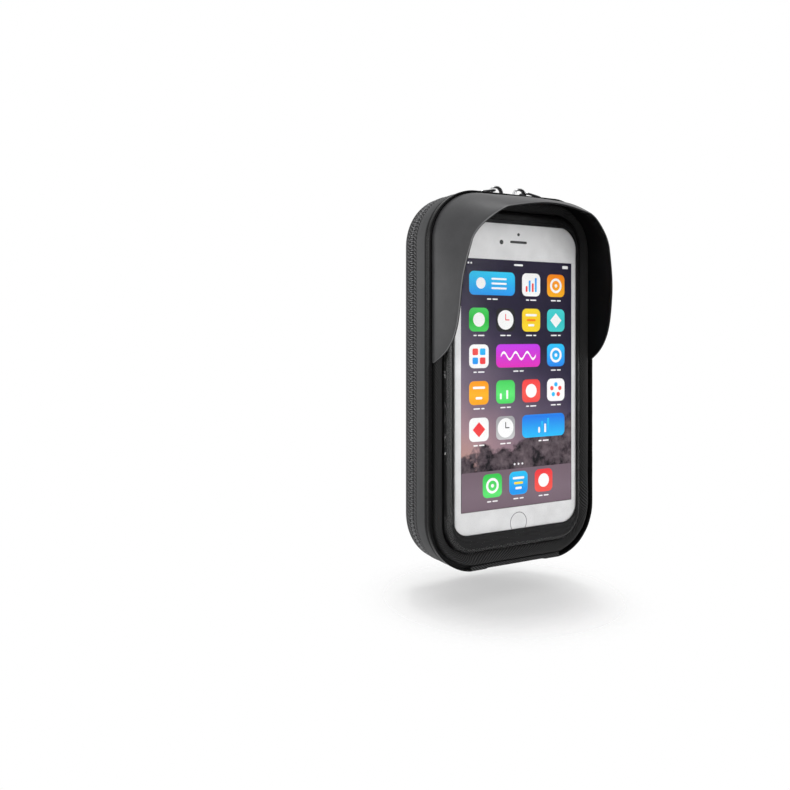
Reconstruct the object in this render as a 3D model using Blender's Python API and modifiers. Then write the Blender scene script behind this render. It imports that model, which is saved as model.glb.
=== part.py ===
"""A hard-shell phone bag for a bicycle's top tube, standing on its hinge end.

X runs to the right as seen from the front, Y from the front to the back and
Z up along the bag. The origin is under the middle of the whole object.
Insets are measured inwards from the bag's outline, depths backwards from the
front rim, and heights from the middle of the bag, all in metres.
"""
import math

import bmesh
import bpy
from mathutils import Matrix, Vector

MM = 0.001

# Whole bag, whose width and height follow from the phone that it is made for
CORNER_RADIUS = 26.0 * MM
CORNER_STEPS = 8
GAP = 0.3 * MM

# Lid
PIPING_WIDTH = 1.1 * MM
PIPING_DEPTH = 3.7 * MM
LID_WALL = 2.2 * MM
LID_WALL_INSET = 0.3 * MM
LID_WALL_LENGTH = 9.4 * MM
FLANGE_THICKNESS = 1.6 * MM
BAND_WIDTH = 5.2 * MM
BAND_DEPTH = 4.35 * MM
BAND_CROWN = 0.1 * MM
BAND_EDGE_RUN = 0.4 * MM
BAND_EDGE_DROP = 0.5 * MM
BAND_FLAT_RUN = 1.3 * MM
BAND_SHOULDER_RUN = 3.9 * MM
BAND_SHOULDER_DROP = 0.85 * MM
BAND_INNER_DEPTH = 2.2 * MM
RECESS_RADIUS = 15.5 * MM

# Window
FILM_THICKNESS = 0.3 * MM
FILM_RISE = 1.2 * MM
CROWN_RUN = 2.9 * MM
CROWN_HEIGHT = 3.2 * MM
CROWN_STEPS = 5
BEZEL_THICKNESS = 1.0 * MM
WINDOW_SIDE_MARGIN = 0.4 * MM
WINDOW_END_OVERLAP = 3.55 * MM
WINDOW_RADIUS = 9.0 * MM
WINDOW_OFFSET_X = 0.6 * MM
WINDOW_OFFSET_Z = 1.35 * MM

# Sun visor
VISOR_THICKNESS = 1.1 * MM
VISOR_REACH_TOP = 27.0 * MM
VISOR_REACH_SIDE = 18.4 * MM
VISOR_END_HEIGHT = 9.0 * MM
VISOR_CURL = 9.0 * MM
VISOR_ARCH_SIDE = 36.0 * MM
VISOR_LEAN_TOP = 6.1 * MM
VISOR_LEAN_SIDE = 2.9 * MM
VISOR_LEAN_CORNER = 6.0 * MM
VISOR_LEAN_POWER = 1.5
VISOR_COLUMNS = 26
VISOR_ROWS = 5

# Zip
TAPE_THICKNESS = 0.8 * MM
TAPE_INSET = 0.6 * MM
TAPE_WIDTH = 2.1 * MM
TEETH_WIDTH = 1.1 * MM
TEETH_HEIGHT = 1.7 * MM
TEETH_INSET = 0.2 * MM
TEETH_AMPLITUDE = 0.45 * MM
TEETH_PITCH = 2.6 * MM
TEETH_GAP = 0.2 * MM
TEETH_SHORT_OF_HINGE = 1.0 * MM

# Cloth hinge
HINGE_WIDTH = 54.0 * MM
HINGE_CLOTH = 0.8 * MM
HINGE_FRONT_LIP = 2.5 * MM
HINGE_HALF_GAP = 0.65 * MM
HINGE_TAIL = 9.0 * MM

# Tub
TUB_WALL = 2.0 * MM
TUB_COLLAR = 1.4 * MM
TUB_TAPER = 0.6
TUB_TAPER_DEPTH = 16.0 * MM
TUB_EDGE_RADIUS = 6.0 * MM
TUB_EDGE_STEPS = 5
BAG_DEPTH = 43.5 * MM

# Phone and its pocket
PHONE_WIDTH = 75.2 * MM
PHONE_HEIGHT = 156.8 * MM
PHONE_THICKNESS = 7.1 * MM
PHONE_RADIUS = 12.0 * MM
PHONE_OFFSET_X = 1.9 * MM
PHONE_OFFSET_Z = -1.5 * MM
PHONE_SIDE_CLEARANCE = 1.6 * MM
PHONE_END_CLEARANCE = 2.2 * MM
PHONE_FRONT_DEPTH = 0.85 * MM
PHONE_GLASS = 0.9 * MM
PHONE_EDGE = 1.2 * MM
SCREEN_SIDE_BORDER = 3.5 * MM
SCREEN_END_BORDER = 17.75 * MM
SCREEN_THICKNESS = 0.3 * MM
SCREEN_OFFSET_Z = -0.6 * MM
SCREEN_SIDE_GAP = 0.12 * MM
EARPIECE_LENGTH = 11.5 * MM
EARPIECE_WIDTH = 1.4 * MM
EARPIECE_FROM_TOP = 9.3 * MM
KEY_RADIUS = 5.2 * MM
KEY_FROM_END = 9.3 * MM
KEY_RECESS = 0.25 * MM
KEY_STEPS = 32
POCKET_CLEARANCE = 0.45 * MM
FOAM_REAR_DEPTH = 12.0 * MM
FLAP_THICKNESS = 1.0 * MM

# Sliders and their pulls
SLIDER_LENGTH = 9.0 * MM
SLIDER_WIDTH = 8.0 * MM
SLIDER_PLATE = 1.3 * MM
SLIDER_ROUNDING = 0.52 * MM
BRIDGE_LENGTH = 8.6 * MM
BRIDGE_WIDTH = 2.4 * MM
BRIDGE_WALL = 0.9 * MM
BRIDGE_STEPS = 12
BRIDGE_SQUARENESS = 0.75
EYE_HEIGHT = 4.7 * MM
PULL_WIRE = 0.65 * MM
PULL_LENGTH = 10.3 * MM
PULL_WIDTH = 7.0 * MM
PULL_CORNER = 2.4 * MM
PULL_CORNER_STEPS = 4
PULL_PIVOT_RISE = 2.9 * MM
PULL_TILT = math.radians(-10.0)
SLIDERS = (
    ("left", 0.5 * MM, -1.0),
    ("right", 15.5 * MM, 1.0),
)

# Back of the tub
PAD_WIDTH = 44.0 * MM
PAD_HEIGHT = 38.0 * MM
PAD_THICKNESS = 3.6 * MM
PAD_RADIUS = 6.0 * MM
PAD_ROUNDING = 0.9 * MM
STRAP_SPACING = 92.0 * MM
STRAP_WIDTH = 25.0 * MM
STRAP_THICKNESS = 1.5 * MM
STRAP_HALF_SPAN = 33.0 * MM
STRAP_OVERLAP = 22.0 * MM
STRAP_TURN_STEPS = 8
LOOP_WIDTH = 30.0 * MM
LOOP_LENGTH = 42.0 * MM
LOOP_WEBBING = 1.2 * MM

# Depths that follow from the sizes above
WALL_FRONT = PIPING_DEPTH + GAP
WALL_REAR = WALL_FRONT + LID_WALL_LENGTH
LID_TAPE_FRONT = WALL_REAR + GAP
LID_TEETH_FRONT = LID_TAPE_FRONT + TAPE_WIDTH + GAP
PARTING = LID_TEETH_FRONT + TEETH_WIDTH + TEETH_AMPLITUDE
TUB_TEETH_REAR = PARTING + TEETH_WIDTH + TEETH_AMPLITUDE
TUB_TAPE_FRONT = TUB_TEETH_REAR + GAP
TUB_FRONT = TUB_TAPE_FRONT + TAPE_WIDTH + GAP
FILM_FOOT = BAND_DEPTH + GAP
FLANGE_FRONT = FILM_FOOT + FILM_THICKNESS + GAP
FLANGE_REAR = FLANGE_FRONT + FLANGE_THICKNESS
PHONE_REAR = PHONE_FRONT_DEPTH + PHONE_THICKNESS
FLAP_FRONT = FOAM_REAR_DEPTH + GAP

# Insets that follow from the sizes above
WALL_INNER = LID_WALL_INSET + LID_WALL
VISOR_MIDDLE = PIPING_WIDTH + GAP + VISOR_THICKNESS / 2
BAND_OUTER = PIPING_WIDTH + 2 * GAP + VISOR_THICKNESS
BAND_INNER = BAND_OUTER + BAND_WIDTH
FILM_INSET = BAND_INNER + GAP
BEZEL_INSET = FILM_INSET + FILM_THICKNESS + GAP
TAPE_INNER = TAPE_INSET + TAPE_THICKNESS

# The phone's screen, the window over it and the bag round it
SCREEN_WIDTH = PHONE_WIDTH - 2 * SCREEN_SIDE_BORDER
SCREEN_HEIGHT = PHONE_HEIGHT - 2 * SCREEN_END_BORDER
WINDOW_WIDTH = PHONE_WIDTH + 2 * WINDOW_SIDE_MARGIN
WINDOW_HEIGHT = PHONE_HEIGHT - 2 * WINDOW_END_OVERLAP
BAG_WIDTH = PHONE_WIDTH + 2 * (abs(PHONE_OFFSET_X) + BEZEL_INSET + PHONE_SIDE_CLEARANCE)
BAG_HEIGHT = PHONE_HEIGHT + 2 * (abs(PHONE_OFFSET_Z) + BEZEL_INSET + PHONE_END_CLEARANCE)

# Back stack and where the front rim lies in the world
LOOP_DEPTH = BAG_DEPTH + STRAP_THICKNESS + 2 * GAP
STRAP_INNER_DEPTH = BAG_DEPTH + GAP + STRAP_THICKNESS / 2
STRAP_OUTER_DEPTH = LOOP_DEPTH + LOOP_WEBBING + GAP + STRAP_THICKNESS / 2
STRAP_TOP_DEPTH = STRAP_OUTER_DEPTH + STRAP_THICKNESS + GAP
REAR_MOST = STRAP_TOP_DEPTH + STRAP_THICKNESS / 2
FRONT_Y = (VISOR_REACH_TOP - REAR_MOST) / 2
MIDDLE_Z = BAG_HEIGHT / 2

# Length along the outline from the top's middle to its corner points
TOP_RUN = BAG_WIDTH / 2 - CORNER_RADIUS
CORNER_RUN = math.pi / 2 * CORNER_RADIUS
SIDE_RUN = BAG_HEIGHT - 2 * CORNER_RADIUS
HALF_OUTLINE = 2 * TOP_RUN + 2 * CORNER_RUN + SIDE_RUN

COLOURS = {
    "shell": ((0.035, 0.036, 0.038, 1.0), 0.6, 0.0),
    "fabric": ((0.022, 0.022, 0.024, 1.0), 0.85, 0.0),
    "piping": ((0.012, 0.012, 0.013, 1.0), 0.4, 0.0),
    "bezel": ((0.008, 0.008, 0.009, 1.0), 0.3, 0.0),
    "visor": ((0.06, 0.06, 0.063, 1.0), 0.5, 0.0),
    "film": ((0.85, 0.88, 0.9, 0.25), 0.08, 0.0),
    "foam": ((0.03, 0.03, 0.03, 1.0), 0.9, 0.0),
    "metal": ((0.75, 0.75, 0.76, 1.0), 0.2, 1.0),
    "rubber": ((0.015, 0.015, 0.016, 1.0), 0.75, 0.0),
    "phone_metal": ((0.6, 0.6, 0.62, 1.0), 0.35, 1.0),
    "phone_glass": ((0.72, 0.72, 0.73, 1.0), 0.15, 0.0),
    "screen": ((0.06, 0.05, 0.09, 1.0), 0.12, 0.0),
}


def clear_scene():
    """Remove whatever the file holds before the bag is built."""
    for item in list(bpy.data.objects):
        bpy.data.objects.remove(item, do_unlink=True)


def new_collection(name):
    """Make a collection under the scene."""
    collection = bpy.data.collections.new(name)
    bpy.context.scene.collection.children.link(collection)
    return collection


def material(kind):
    """Give the Principled material for one kind of surface."""
    found = bpy.data.materials.get(kind)
    if found:
        return found
    colour, roughness, metallic = COLOURS[kind]
    made = bpy.data.materials.new(kind)
    made.use_nodes = True
    shader = made.node_tree.nodes["Principled BSDF"]
    shader.inputs["Base Color"].default_value = colour
    shader.inputs["Roughness"].default_value = roughness
    shader.inputs["Metallic"].default_value = metallic
    shader.inputs["Alpha"].default_value = colour[3]
    return made


def world(x, depth, height):
    """Turn a place on the bag into world coordinates."""
    return Vector((x, FRONT_Y + depth, MIDDLE_Z + height))


def add_object(name, mesh, kind, collection, origin=Vector((0, 0, 0))):
    """Link a mesh, whose points are in the world, with its origin at a point."""
    for vertex in mesh.vertices:
        vertex.co -= origin
    mesh.materials.append(material(kind))
    thing = bpy.data.objects.new(name, mesh)
    thing.location = origin
    collection.objects.link(thing)
    return thing


def mesh_from(bm, name, sharp_degrees=40.0):
    """Close a bmesh into a mesh with outward faces and smooth rounded sides."""
    bmesh.ops.recalc_face_normals(bm, faces=bm.faces)
    mesh = bpy.data.meshes.new(name)
    bm.to_mesh(mesh)
    bm.free()
    mesh.shade_smooth()
    mesh.set_sharp_from_angle(angle=math.radians(sharp_degrees))
    return mesh


def hide_tool(thing):
    """Mark a cutter as a tool that isn't part of the bag."""
    thing.hide_render = True
    thing.display_type = "WIRE"


def boolean(target, tool, operation):
    """Cut or join a target with a tool that stays as a live modifier."""
    hide_tool(tool)
    modifier = target.modifiers.new(operation.lower(), "BOOLEAN")
    modifier.operation = operation
    modifier.solver = "EXACT"
    modifier.object = tool


def solidify(thing, thickness, offset=-1.0):
    """Give an open surface its thickness."""
    modifier = thing.modifiers.new("thickness", "SOLIDIFY")
    modifier.thickness = thickness
    modifier.offset = offset
    modifier.use_even_offset = True


def bevel(thing, width, segments=2, degrees=40.0):
    """Round a piece's edges."""
    modifier = thing.modifiers.new("rounding", "BEVEL")
    modifier.width = width
    modifier.segments = segments
    modifier.limit_method = "ANGLE"
    modifier.angle_limit = math.radians(degrees)


def outline_station(run):
    """Find the bag's outline and its outward direction at a run from the top's middle."""
    side = -1.0 if run < 0 else 1.0
    run = abs(run)
    half_width = BAG_WIDTH / 2
    half_height = BAG_HEIGHT / 2
    if run <= TOP_RUN:
        return side * run, half_height, 0.0, 1.0
    run -= TOP_RUN
    if run <= CORNER_RUN:
        turn = run / CORNER_RADIUS
        return (side * (TOP_RUN + CORNER_RADIUS * math.sin(turn)),
                half_height - CORNER_RADIUS * (1 - math.cos(turn)),
                side * math.sin(turn), math.cos(turn))
    run -= CORNER_RUN
    if run <= SIDE_RUN:
        return side * half_width, half_height - CORNER_RADIUS - run, side, 0.0
    run -= SIDE_RUN
    if run <= CORNER_RUN:
        turn = run / CORNER_RADIUS
        return (side * (TOP_RUN + CORNER_RADIUS * math.cos(turn)),
                CORNER_RADIUS * (1 - math.sin(turn)) - half_height,
                side * math.cos(turn), -math.sin(turn))
    run -= CORNER_RUN
    return side * (TOP_RUN - run), -half_height, 0.0, -1.0


def at_station(station, inset, depth):
    """Place a point at an inset and a depth beside one station of the outline."""
    x, height, out_x, out_z = station
    return world(x - out_x * inset, depth, height - out_z * inset)


def section(inset, depth, radius=None):
    """Lay out a rounded rectangle, parallel to the bag's outline unless it has its own radius."""
    if radius is None:
        radius = CORNER_RADIUS - inset
    return rounded_rectangle(BAG_WIDTH - 2 * inset, BAG_HEIGHT - 2 * inset, radius, depth)


def rounded_rectangle(width, height, radius, depth, offset_x=0.0, offset_z=0.0):
    """Lay out the points of an upright rounded rectangle at one depth."""
    points = []
    corners = ((1, 1, 0.0), (-1, 1, 90.0), (-1, -1, 180.0), (1, -1, 270.0))
    for side_x, side_z, start in corners:
        centre_x = offset_x + side_x * (width / 2 - radius)
        centre_z = offset_z + side_z * (height / 2 - radius)
        for step in range(CORNER_STEPS + 1):
            angle = math.radians(start + 90.0 * step / CORNER_STEPS)
            points.append(world(centre_x + radius * math.cos(angle), depth,
                                centre_z + radius * math.sin(angle)))
    return points


def skin_faces(bm, rings, closed_rings, closed_around):
    """Join rows of points with faces, round the rings and on from ring to ring."""
    rows = [[bm.verts.new(point) for point in ring] for ring in rings]
    count = len(rows[0])
    pairs = list(zip(rows, rows[1:]))
    if closed_rings:
        pairs.append((rows[-1], rows[0]))
    for first, second in pairs:
        for index in range(count if closed_around else count - 1):
            after = (index + 1) % count
            bm.faces.new((first[index], first[after], second[after], second[index]))
    return rows


def loft_frame(name, sections, kind, collection):
    """Loft a frame through outlines that come back to the first one."""
    bm = bmesh.new()
    skin_faces(bm, sections, closed_rings=True, closed_around=True)
    return add_object(name, mesh_from(bm, name), kind, collection)


def loft_sheet(name, sections, kind, collection, capped):
    """Loft an open sheet through outlines, with its last one filled if capped."""
    bm = bmesh.new()
    rows = skin_faces(bm, sections, closed_rings=False, closed_around=True)
    if capped:
        bm.faces.new(rows[-1])
    return add_object(name, mesh_from(bm, name), kind, collection)


def sweep(name, runs, profile_at, kind, collection):
    """Sweep a profile along the bag's outline between two capped ends."""
    bm = bmesh.new()
    rings = []
    for run in runs:
        station = outline_station(run)
        rings.append([at_station(station, inset, depth) for inset, depth in profile_at(run)])
    rows = skin_faces(bm, rings, closed_rings=False, closed_around=True)
    bm.faces.new(rows[0])
    bm.faces.new(list(reversed(rows[-1])))
    return add_object(name, mesh_from(bm, name), kind, collection)


def corner_runs(limit):
    """List the runs where a smooth sweep needs a section, out to a limit on both sides."""
    marks = [0.0]
    for start in (TOP_RUN, TOP_RUN + CORNER_RUN + SIDE_RUN):
        marks += [start + CORNER_RUN * step / CORNER_STEPS for step in range(CORNER_STEPS + 1)]
    marks = [mark for mark in marks if mark < limit - GAP] + [limit]
    return [-mark for mark in reversed(marks[1:])] + marks


def plate(name, width, height, radius, front, rear, kind, collection, offset_x=0.0, offset_z=0.0):
    """Stand up a flat rounded plate between two depths."""
    bm = bmesh.new()
    rings = [rounded_rectangle(width, height, radius, depth, offset_x, offset_z)
             for depth in (front, rear)]
    rows = skin_faces(bm, rings, closed_rings=False, closed_around=True)
    bm.faces.new(rows[0])
    bm.faces.new(list(reversed(rows[-1])))
    return add_object(name, mesh_from(bm, name), kind, collection)


def box(name, low, high, kind, collection):
    """Make a box between two world corners."""
    bm = bmesh.new()
    bmesh.ops.create_cube(bm, size=1.0)
    middle = (low + high) / 2
    size = high - low
    for vertex in bm.verts:
        vertex.co = Vector((vertex.co.x * size.x, vertex.co.y * size.y, vertex.co.z * size.z))
    mesh = mesh_from(bm, name)
    mesh.transform(Matrix.Translation(middle))
    return add_object(name, mesh, kind, collection, middle)


def hinge_recess_cutter(tools):
    """Cutter of the shallow seat that the hinge cloth lies in."""
    side = HINGE_WIDTH / 2 + GAP
    bottom = -BAG_HEIGHT / 2
    return box("hinge_recess", world(-side, -WALL_FRONT, bottom - WALL_FRONT),
               world(side, TUB_FRONT + HINGE_TAIL, bottom + HINGE_CLOTH + GAP), "shell", tools)


def lid_shell(hinge_recess, parts):
    """Moulded side wall with the flange that carries the window."""
    opening = (PHONE_WIDTH / 2 + abs(PHONE_OFFSET_X) + POCKET_CLEARANCE) * 2
    opening_height = (PHONE_HEIGHT / 2 + abs(PHONE_OFFSET_Z) + POCKET_CLEARANCE) * 2
    radius = PHONE_RADIUS

    def flange_edge(depth):
        return rounded_rectangle(opening, opening_height, radius, depth)

    shell = loft_frame("lid_shell", [
        section(LID_WALL_INSET, WALL_FRONT),
        section(LID_WALL_INSET, WALL_REAR),
        section(WALL_INNER, WALL_REAR),
        section(WALL_INNER, FLANGE_REAR),
        flange_edge(FLANGE_REAR),
        flange_edge(FLANGE_FRONT),
        section(WALL_INNER, FLANGE_FRONT),
        section(WALL_INNER, WALL_FRONT),
    ], "shell", parts)
    boolean(shell, hinge_recess, "DIFFERENCE")


def lid_piping(parts):
    """Rim bead that runs up one side, over the top and down the other to the hinge."""
    radius = PIPING_WIDTH / 2
    nose = [(radius - radius * math.cos(math.radians(angle)),
             radius - radius * math.sin(math.radians(angle)))
            for angle in range(0, 181, 36)]
    profile = [(0.0, PIPING_DEPTH)] + nose + [(PIPING_WIDTH, PIPING_DEPTH)]
    limit = HALF_OUTLINE - HINGE_WIDTH / 2 - GAP
    sweep("lid_piping", corner_runs(limit), lambda run: profile, "piping", parts)


def lid_frame_band(parts):
    """Padded fabric frame between the piping and the window."""
    mixed_radius = (CORNER_RADIUS - BAND_OUTER + RECESS_RADIUS) / 2
    loft_frame("lid_frame_band", [
        section(BAND_OUTER, BAND_DEPTH),
        section(BAND_OUTER, BAND_CROWN + BAND_EDGE_DROP),
        section(BAND_OUTER + BAND_EDGE_RUN, BAND_CROWN),
        section(BAND_OUTER + BAND_FLAT_RUN, BAND_CROWN),
        section(BAND_OUTER + BAND_SHOULDER_RUN, BAND_CROWN + BAND_SHOULDER_DROP, mixed_radius),
        section(BAND_INNER, BAND_INNER_DEPTH, RECESS_RADIUS),
        section(BAND_INNER, BAND_DEPTH, RECESS_RADIUS),
    ], "fabric", parts)


def crown_sections(offset):
    """Rounded wall that rises from the recess to the window's plane, set back by an offset."""
    run = CROWN_RUN - offset
    rise = CROWN_HEIGHT - offset
    start_depth = CROWN_HEIGHT - FILM_RISE
    rows = []
    for step in range(CROWN_STEPS + 1):
        turn = math.pi / 2 * step / CROWN_STEPS
        inset = FILM_INSET + offset + run * (1 - math.cos(turn))
        depth = start_depth - rise * math.sin(turn)
        rows.append(section(inset, depth, RECESS_RADIUS - (inset - BAND_INNER)))
    return rows


def window_film(parts):
    """Clear film, tucked under the frame band and domed over the bezel and the phone."""
    foot_radius = RECESS_RADIUS - GAP
    film = loft_sheet("window_film", [
        section(WALL_INNER + GAP, FILM_FOOT),
        section(FILM_INSET, FILM_FOOT, foot_radius),
        *crown_sections(0.0),
    ], "film", parts, capped=True)
    solidify(film, FILM_THICKNESS)


def window_bezel(parts):
    """Smooth black surround of the window, a thin raised frame on the lid's flange."""
    offset = BEZEL_INSET - FILM_INSET
    lip_depth = offset - FILM_RISE
    foot = section(BEZEL_INSET, FLANGE_FRONT - GAP, RECESS_RADIUS - (BEZEL_INSET - BAND_INNER))
    window = rounded_rectangle(WINDOW_WIDTH, WINDOW_HEIGHT, WINDOW_RADIUS, lip_depth,
                               WINDOW_OFFSET_X, WINDOW_OFFSET_Z)
    bezel = loft_sheet("window_bezel", [foot, *crown_sections(offset), window],
                       "bezel", parts, capped=False)
    solidify(bezel, BEZEL_THICKNESS)


def visor_edge(run):
    """How far the visor's free edge stands in front of the rim at a run, and how far it leans in."""
    height = outline_station(run)[1]
    curl = max(0.0, 1 - math.exp(-(height - VISOR_END_HEIGHT) / VISOR_CURL))
    arch = max(0.0, 1 - abs(run) / (TOP_RUN + CORNER_RUN + VISOR_ARCH_SIDE))
    arch = arch * arch * (3 - 2 * arch)
    corner_share = min(2.0, abs(run) / (TOP_RUN + CORNER_RUN / 2))
    corner = math.sin(math.pi / 2 * corner_share) ** 2
    reach = VISOR_REACH_SIDE + (VISOR_REACH_TOP - VISOR_REACH_SIDE) * arch
    lean = VISOR_LEAN_SIDE + (VISOR_LEAN_TOP - VISOR_LEAN_SIDE) * arch + VISOR_LEAN_CORNER * corner
    return reach * curl, lean * curl


def visor(parts):
    """Sun visor, one sheet that rounds in at its corners, with its foot in the slot behind the piping."""
    end_run = TOP_RUN + CORNER_RUN + BAG_HEIGHT / 2 - CORNER_RADIUS - VISOR_END_HEIGHT
    bm = bmesh.new()
    rings = []
    for column in range(-VISOR_COLUMNS, VISOR_COLUMNS + 1):
        share = column / VISOR_COLUMNS
        run = end_run * math.copysign(math.sin(abs(share) * math.pi / 2), share)
        station = outline_station(run)
        reach, lean = visor_edge(run)
        ring = [at_station(station, VISOR_MIDDLE, PIPING_DEPTH)]
        for row in range(VISOR_ROWS + 1):
            along = row / VISOR_ROWS
            inset = VISOR_MIDDLE + lean * along ** VISOR_LEAN_POWER
            ring.append(at_station(station, inset, -reach * along))
        rings.append(ring)
    skin_faces(bm, rings, closed_rings=False, closed_around=False)
    sheet = add_object("visor", mesh_from(bm, "visor"), "visor", parts)
    solidify(sheet, VISOR_THICKNESS, offset=0.0)


def zip_tape(name, front, parts):
    """Half of the zip's tape, from one end of the hinge round to the other."""
    rear = front + TAPE_WIDTH
    profile = [(TAPE_INSET, front), (TAPE_INSET, rear), (TAPE_INNER, rear), (TAPE_INNER, front)]
    limit = HALF_OUTLINE - HINGE_WIDTH / 2 - GAP
    sweep(name, corner_runs(limit), lambda run: profile, "fabric", parts)


def zip_teeth(name, root, edge, parts):
    """Half of the zip's chain, whose teeth lie between the other half's teeth."""
    limit = HALF_OUTLINE - HINGE_WIDTH / 2 - TEETH_SHORT_OF_HINGE
    count = 2 * round(limit / TEETH_PITCH)
    step = limit / count
    inner = TEETH_INSET + TEETH_HEIGHT

    def profile_at(run):
        tip = edge + TEETH_AMPLITUDE * (1 if round(run / step) % 2 else -1)
        return [(TEETH_INSET, root), (TEETH_INSET, tip), (inner, tip), (inner, root)]

    runs = [step * index for index in range(-count, count + 1)]
    sweep(name, runs, profile_at, "shell", parts)


def cloth_strip(name, path, parts):
    """Bend a strip of hinge cloth along a path of depths and heights."""
    bm = bmesh.new()
    rings = [[world(side * HINGE_WIDTH / 2, depth, height) for depth, height in path]
             for side in (-1, 1)]
    skin_faces(bm, rings, closed_rings=False, closed_around=False)
    strip = add_object(name, mesh_from(bm, name), "fabric", parts)
    solidify(strip, HINGE_CLOTH, offset=0.0)


def hinge_cloth(parts):
    """Cloth hinge under the bag, in one half on the lid and one on the tub."""
    half = HINGE_CLOTH / 2
    bottom = -BAG_HEIGHT / 2
    cloth_strip("hinge_cloth_lid", [
        (half, bottom + HINGE_FRONT_LIP),
        (half, bottom + half),
        (PARTING - HINGE_HALF_GAP, bottom + half),
    ], parts)
    slope = math.hypot(1.0, TUB_TAPER)
    lift = bottom + TAPE_INSET - (half + GAP) * slope
    knee = TUB_FRONT + TUB_COLLAR + (bottom + half - lift) / TUB_TAPER
    cloth_strip("hinge_cloth_tub", [
        (PARTING + HINGE_HALF_GAP, bottom + half),
        (knee, bottom + half),
        (knee + HINGE_TAIL / slope, bottom + half + HINGE_TAIL * TUB_TAPER / slope),
    ], parts)


def tub_shell(hinge_recess, parts):
    """Moulded tub that tapers towards the top tube."""
    collar_rear = TUB_FRONT + TUB_COLLAR
    taper_rear = collar_rear + TUB_TAPER_DEPTH
    taper_inset = TAPE_INSET + TUB_TAPER * TUB_TAPER_DEPTH
    rows = [section(TAPE_INSET, TUB_FRONT), section(TAPE_INSET, collar_rear),
            section(taper_inset, taper_rear)]
    drop = BAG_DEPTH - taper_rear
    start = math.atan(TUB_TAPER)
    for step in range(1, TUB_EDGE_STEPS + 1):
        share = step / TUB_EDGE_STEPS
        turn = start + (math.pi / 2 - start) * share
        depth = taper_rear + drop * (math.sin(turn) - math.sin(start)) / (1 - math.sin(start))
        inset = taper_inset + TUB_EDGE_RADIUS * (math.cos(start) - math.cos(turn)) / math.cos(start)
        rows.append(section(inset, depth))
    shell = loft_sheet("tub_shell", rows, "shell", parts, capped=True)
    solidify(shell, TUB_WALL)
    boolean(shell, hinge_recess, "DIFFERENCE")


def phone(parts, tools):
    """Plain phone that rests in the lid's pocket, in its body, front and screen."""
    front = PHONE_FRONT_DEPTH
    glass_rear = front + PHONE_GLASS
    body = plate("phone_body", PHONE_WIDTH, PHONE_HEIGHT, PHONE_RADIUS, glass_rear + SCREEN_SIDE_GAP,
                 PHONE_REAR, "phone_metal", parts, PHONE_OFFSET_X, PHONE_OFFSET_Z)
    bevel(body, PHONE_EDGE, segments=3)
    glass = plate("phone_front", PHONE_WIDTH, PHONE_HEIGHT, PHONE_RADIUS, front, glass_rear,
                  "phone_glass", parts, PHONE_OFFSET_X, PHONE_OFFSET_Z)
    screen_z = PHONE_OFFSET_Z + SCREEN_OFFSET_Z
    low = world(PHONE_OFFSET_X - SCREEN_WIDTH / 2, front, screen_z - SCREEN_HEIGHT / 2)
    high = world(PHONE_OFFSET_X + SCREEN_WIDTH / 2, front + SCREEN_THICKNESS,
                 screen_z + SCREEN_HEIGHT / 2)
    box("phone_screen", low, high, "screen", parts)
    margin = Vector((SCREEN_SIDE_GAP, SCREEN_SIDE_GAP, SCREEN_SIDE_GAP))
    recess = box("screen_recess", low - margin - Vector((0, PHONE_GLASS, 0)), high + margin,
                 "phone_glass", tools)
    boolean(glass, recess, "DIFFERENCE")
    slot_half = Vector((EARPIECE_LENGTH / 2, PHONE_GLASS / 2, EARPIECE_WIDTH / 2))
    slot_middle = world(PHONE_OFFSET_X, front,
                        PHONE_OFFSET_Z + PHONE_HEIGHT / 2 - EARPIECE_FROM_TOP)
    slot = box("earpiece_slot", slot_middle - slot_half, slot_middle + slot_half,
               "phone_glass", tools)
    boolean(glass, slot, "DIFFERENCE")
    bm = bmesh.new()
    bmesh.ops.create_cone(bm, cap_ends=True, segments=KEY_STEPS, radius1=KEY_RADIUS,
                          radius2=KEY_RADIUS, depth=2 * KEY_RECESS)
    bmesh.ops.rotate(bm, verts=bm.verts, cent=(0, 0, 0),
                     matrix=Matrix.Rotation(math.pi / 2, 3, "X"))
    key_height = PHONE_OFFSET_Z - PHONE_HEIGHT / 2 + KEY_FROM_END
    bmesh.ops.translate(bm, verts=bm.verts, vec=world(PHONE_OFFSET_X, front, key_height))
    key = add_object("key_recess", mesh_from(bm, "key_recess"), "phone_glass", tools)
    boolean(glass, key, "DIFFERENCE")


def phone_pocket(parts):
    """Foam frame round the phone, the pad behind it and the flap that closes the pocket."""
    opening = [PHONE_WIDTH + 2 * POCKET_CLEARANCE, PHONE_HEIGHT + 2 * POCKET_CLEARANCE,
               PHONE_RADIUS + POCKET_CLEARANCE]
    front = FLANGE_REAR + GAP
    loft_frame("pocket_foam", [
        section(WALL_INNER + GAP, front),
        section(WALL_INNER + GAP, FOAM_REAR_DEPTH),
        rounded_rectangle(*opening, FOAM_REAR_DEPTH, PHONE_OFFSET_X, PHONE_OFFSET_Z),
        rounded_rectangle(*opening, front, PHONE_OFFSET_X, PHONE_OFFSET_Z),
    ], "foam", parts)
    plate("phone_pad", PHONE_WIDTH, PHONE_HEIGHT, PHONE_RADIUS, PHONE_REAR + GAP,
          FOAM_REAR_DEPTH, "foam", parts, PHONE_OFFSET_X, PHONE_OFFSET_Z)
    plate("pocket_flap", BAG_WIDTH - 2 * (WALL_INNER + GAP), BAG_HEIGHT - 2 * (WALL_INNER + GAP),
          CORNER_RADIUS - WALL_INNER - GAP, FLAP_FRONT, FLAP_FRONT + FLAP_THICKNESS,
          "fabric", parts)


def slider_top():
    """Height of the sliders' underside, just clear of the zip's teeth."""
    return BAG_HEIGHT / 2 - TEETH_INSET + GAP


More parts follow.
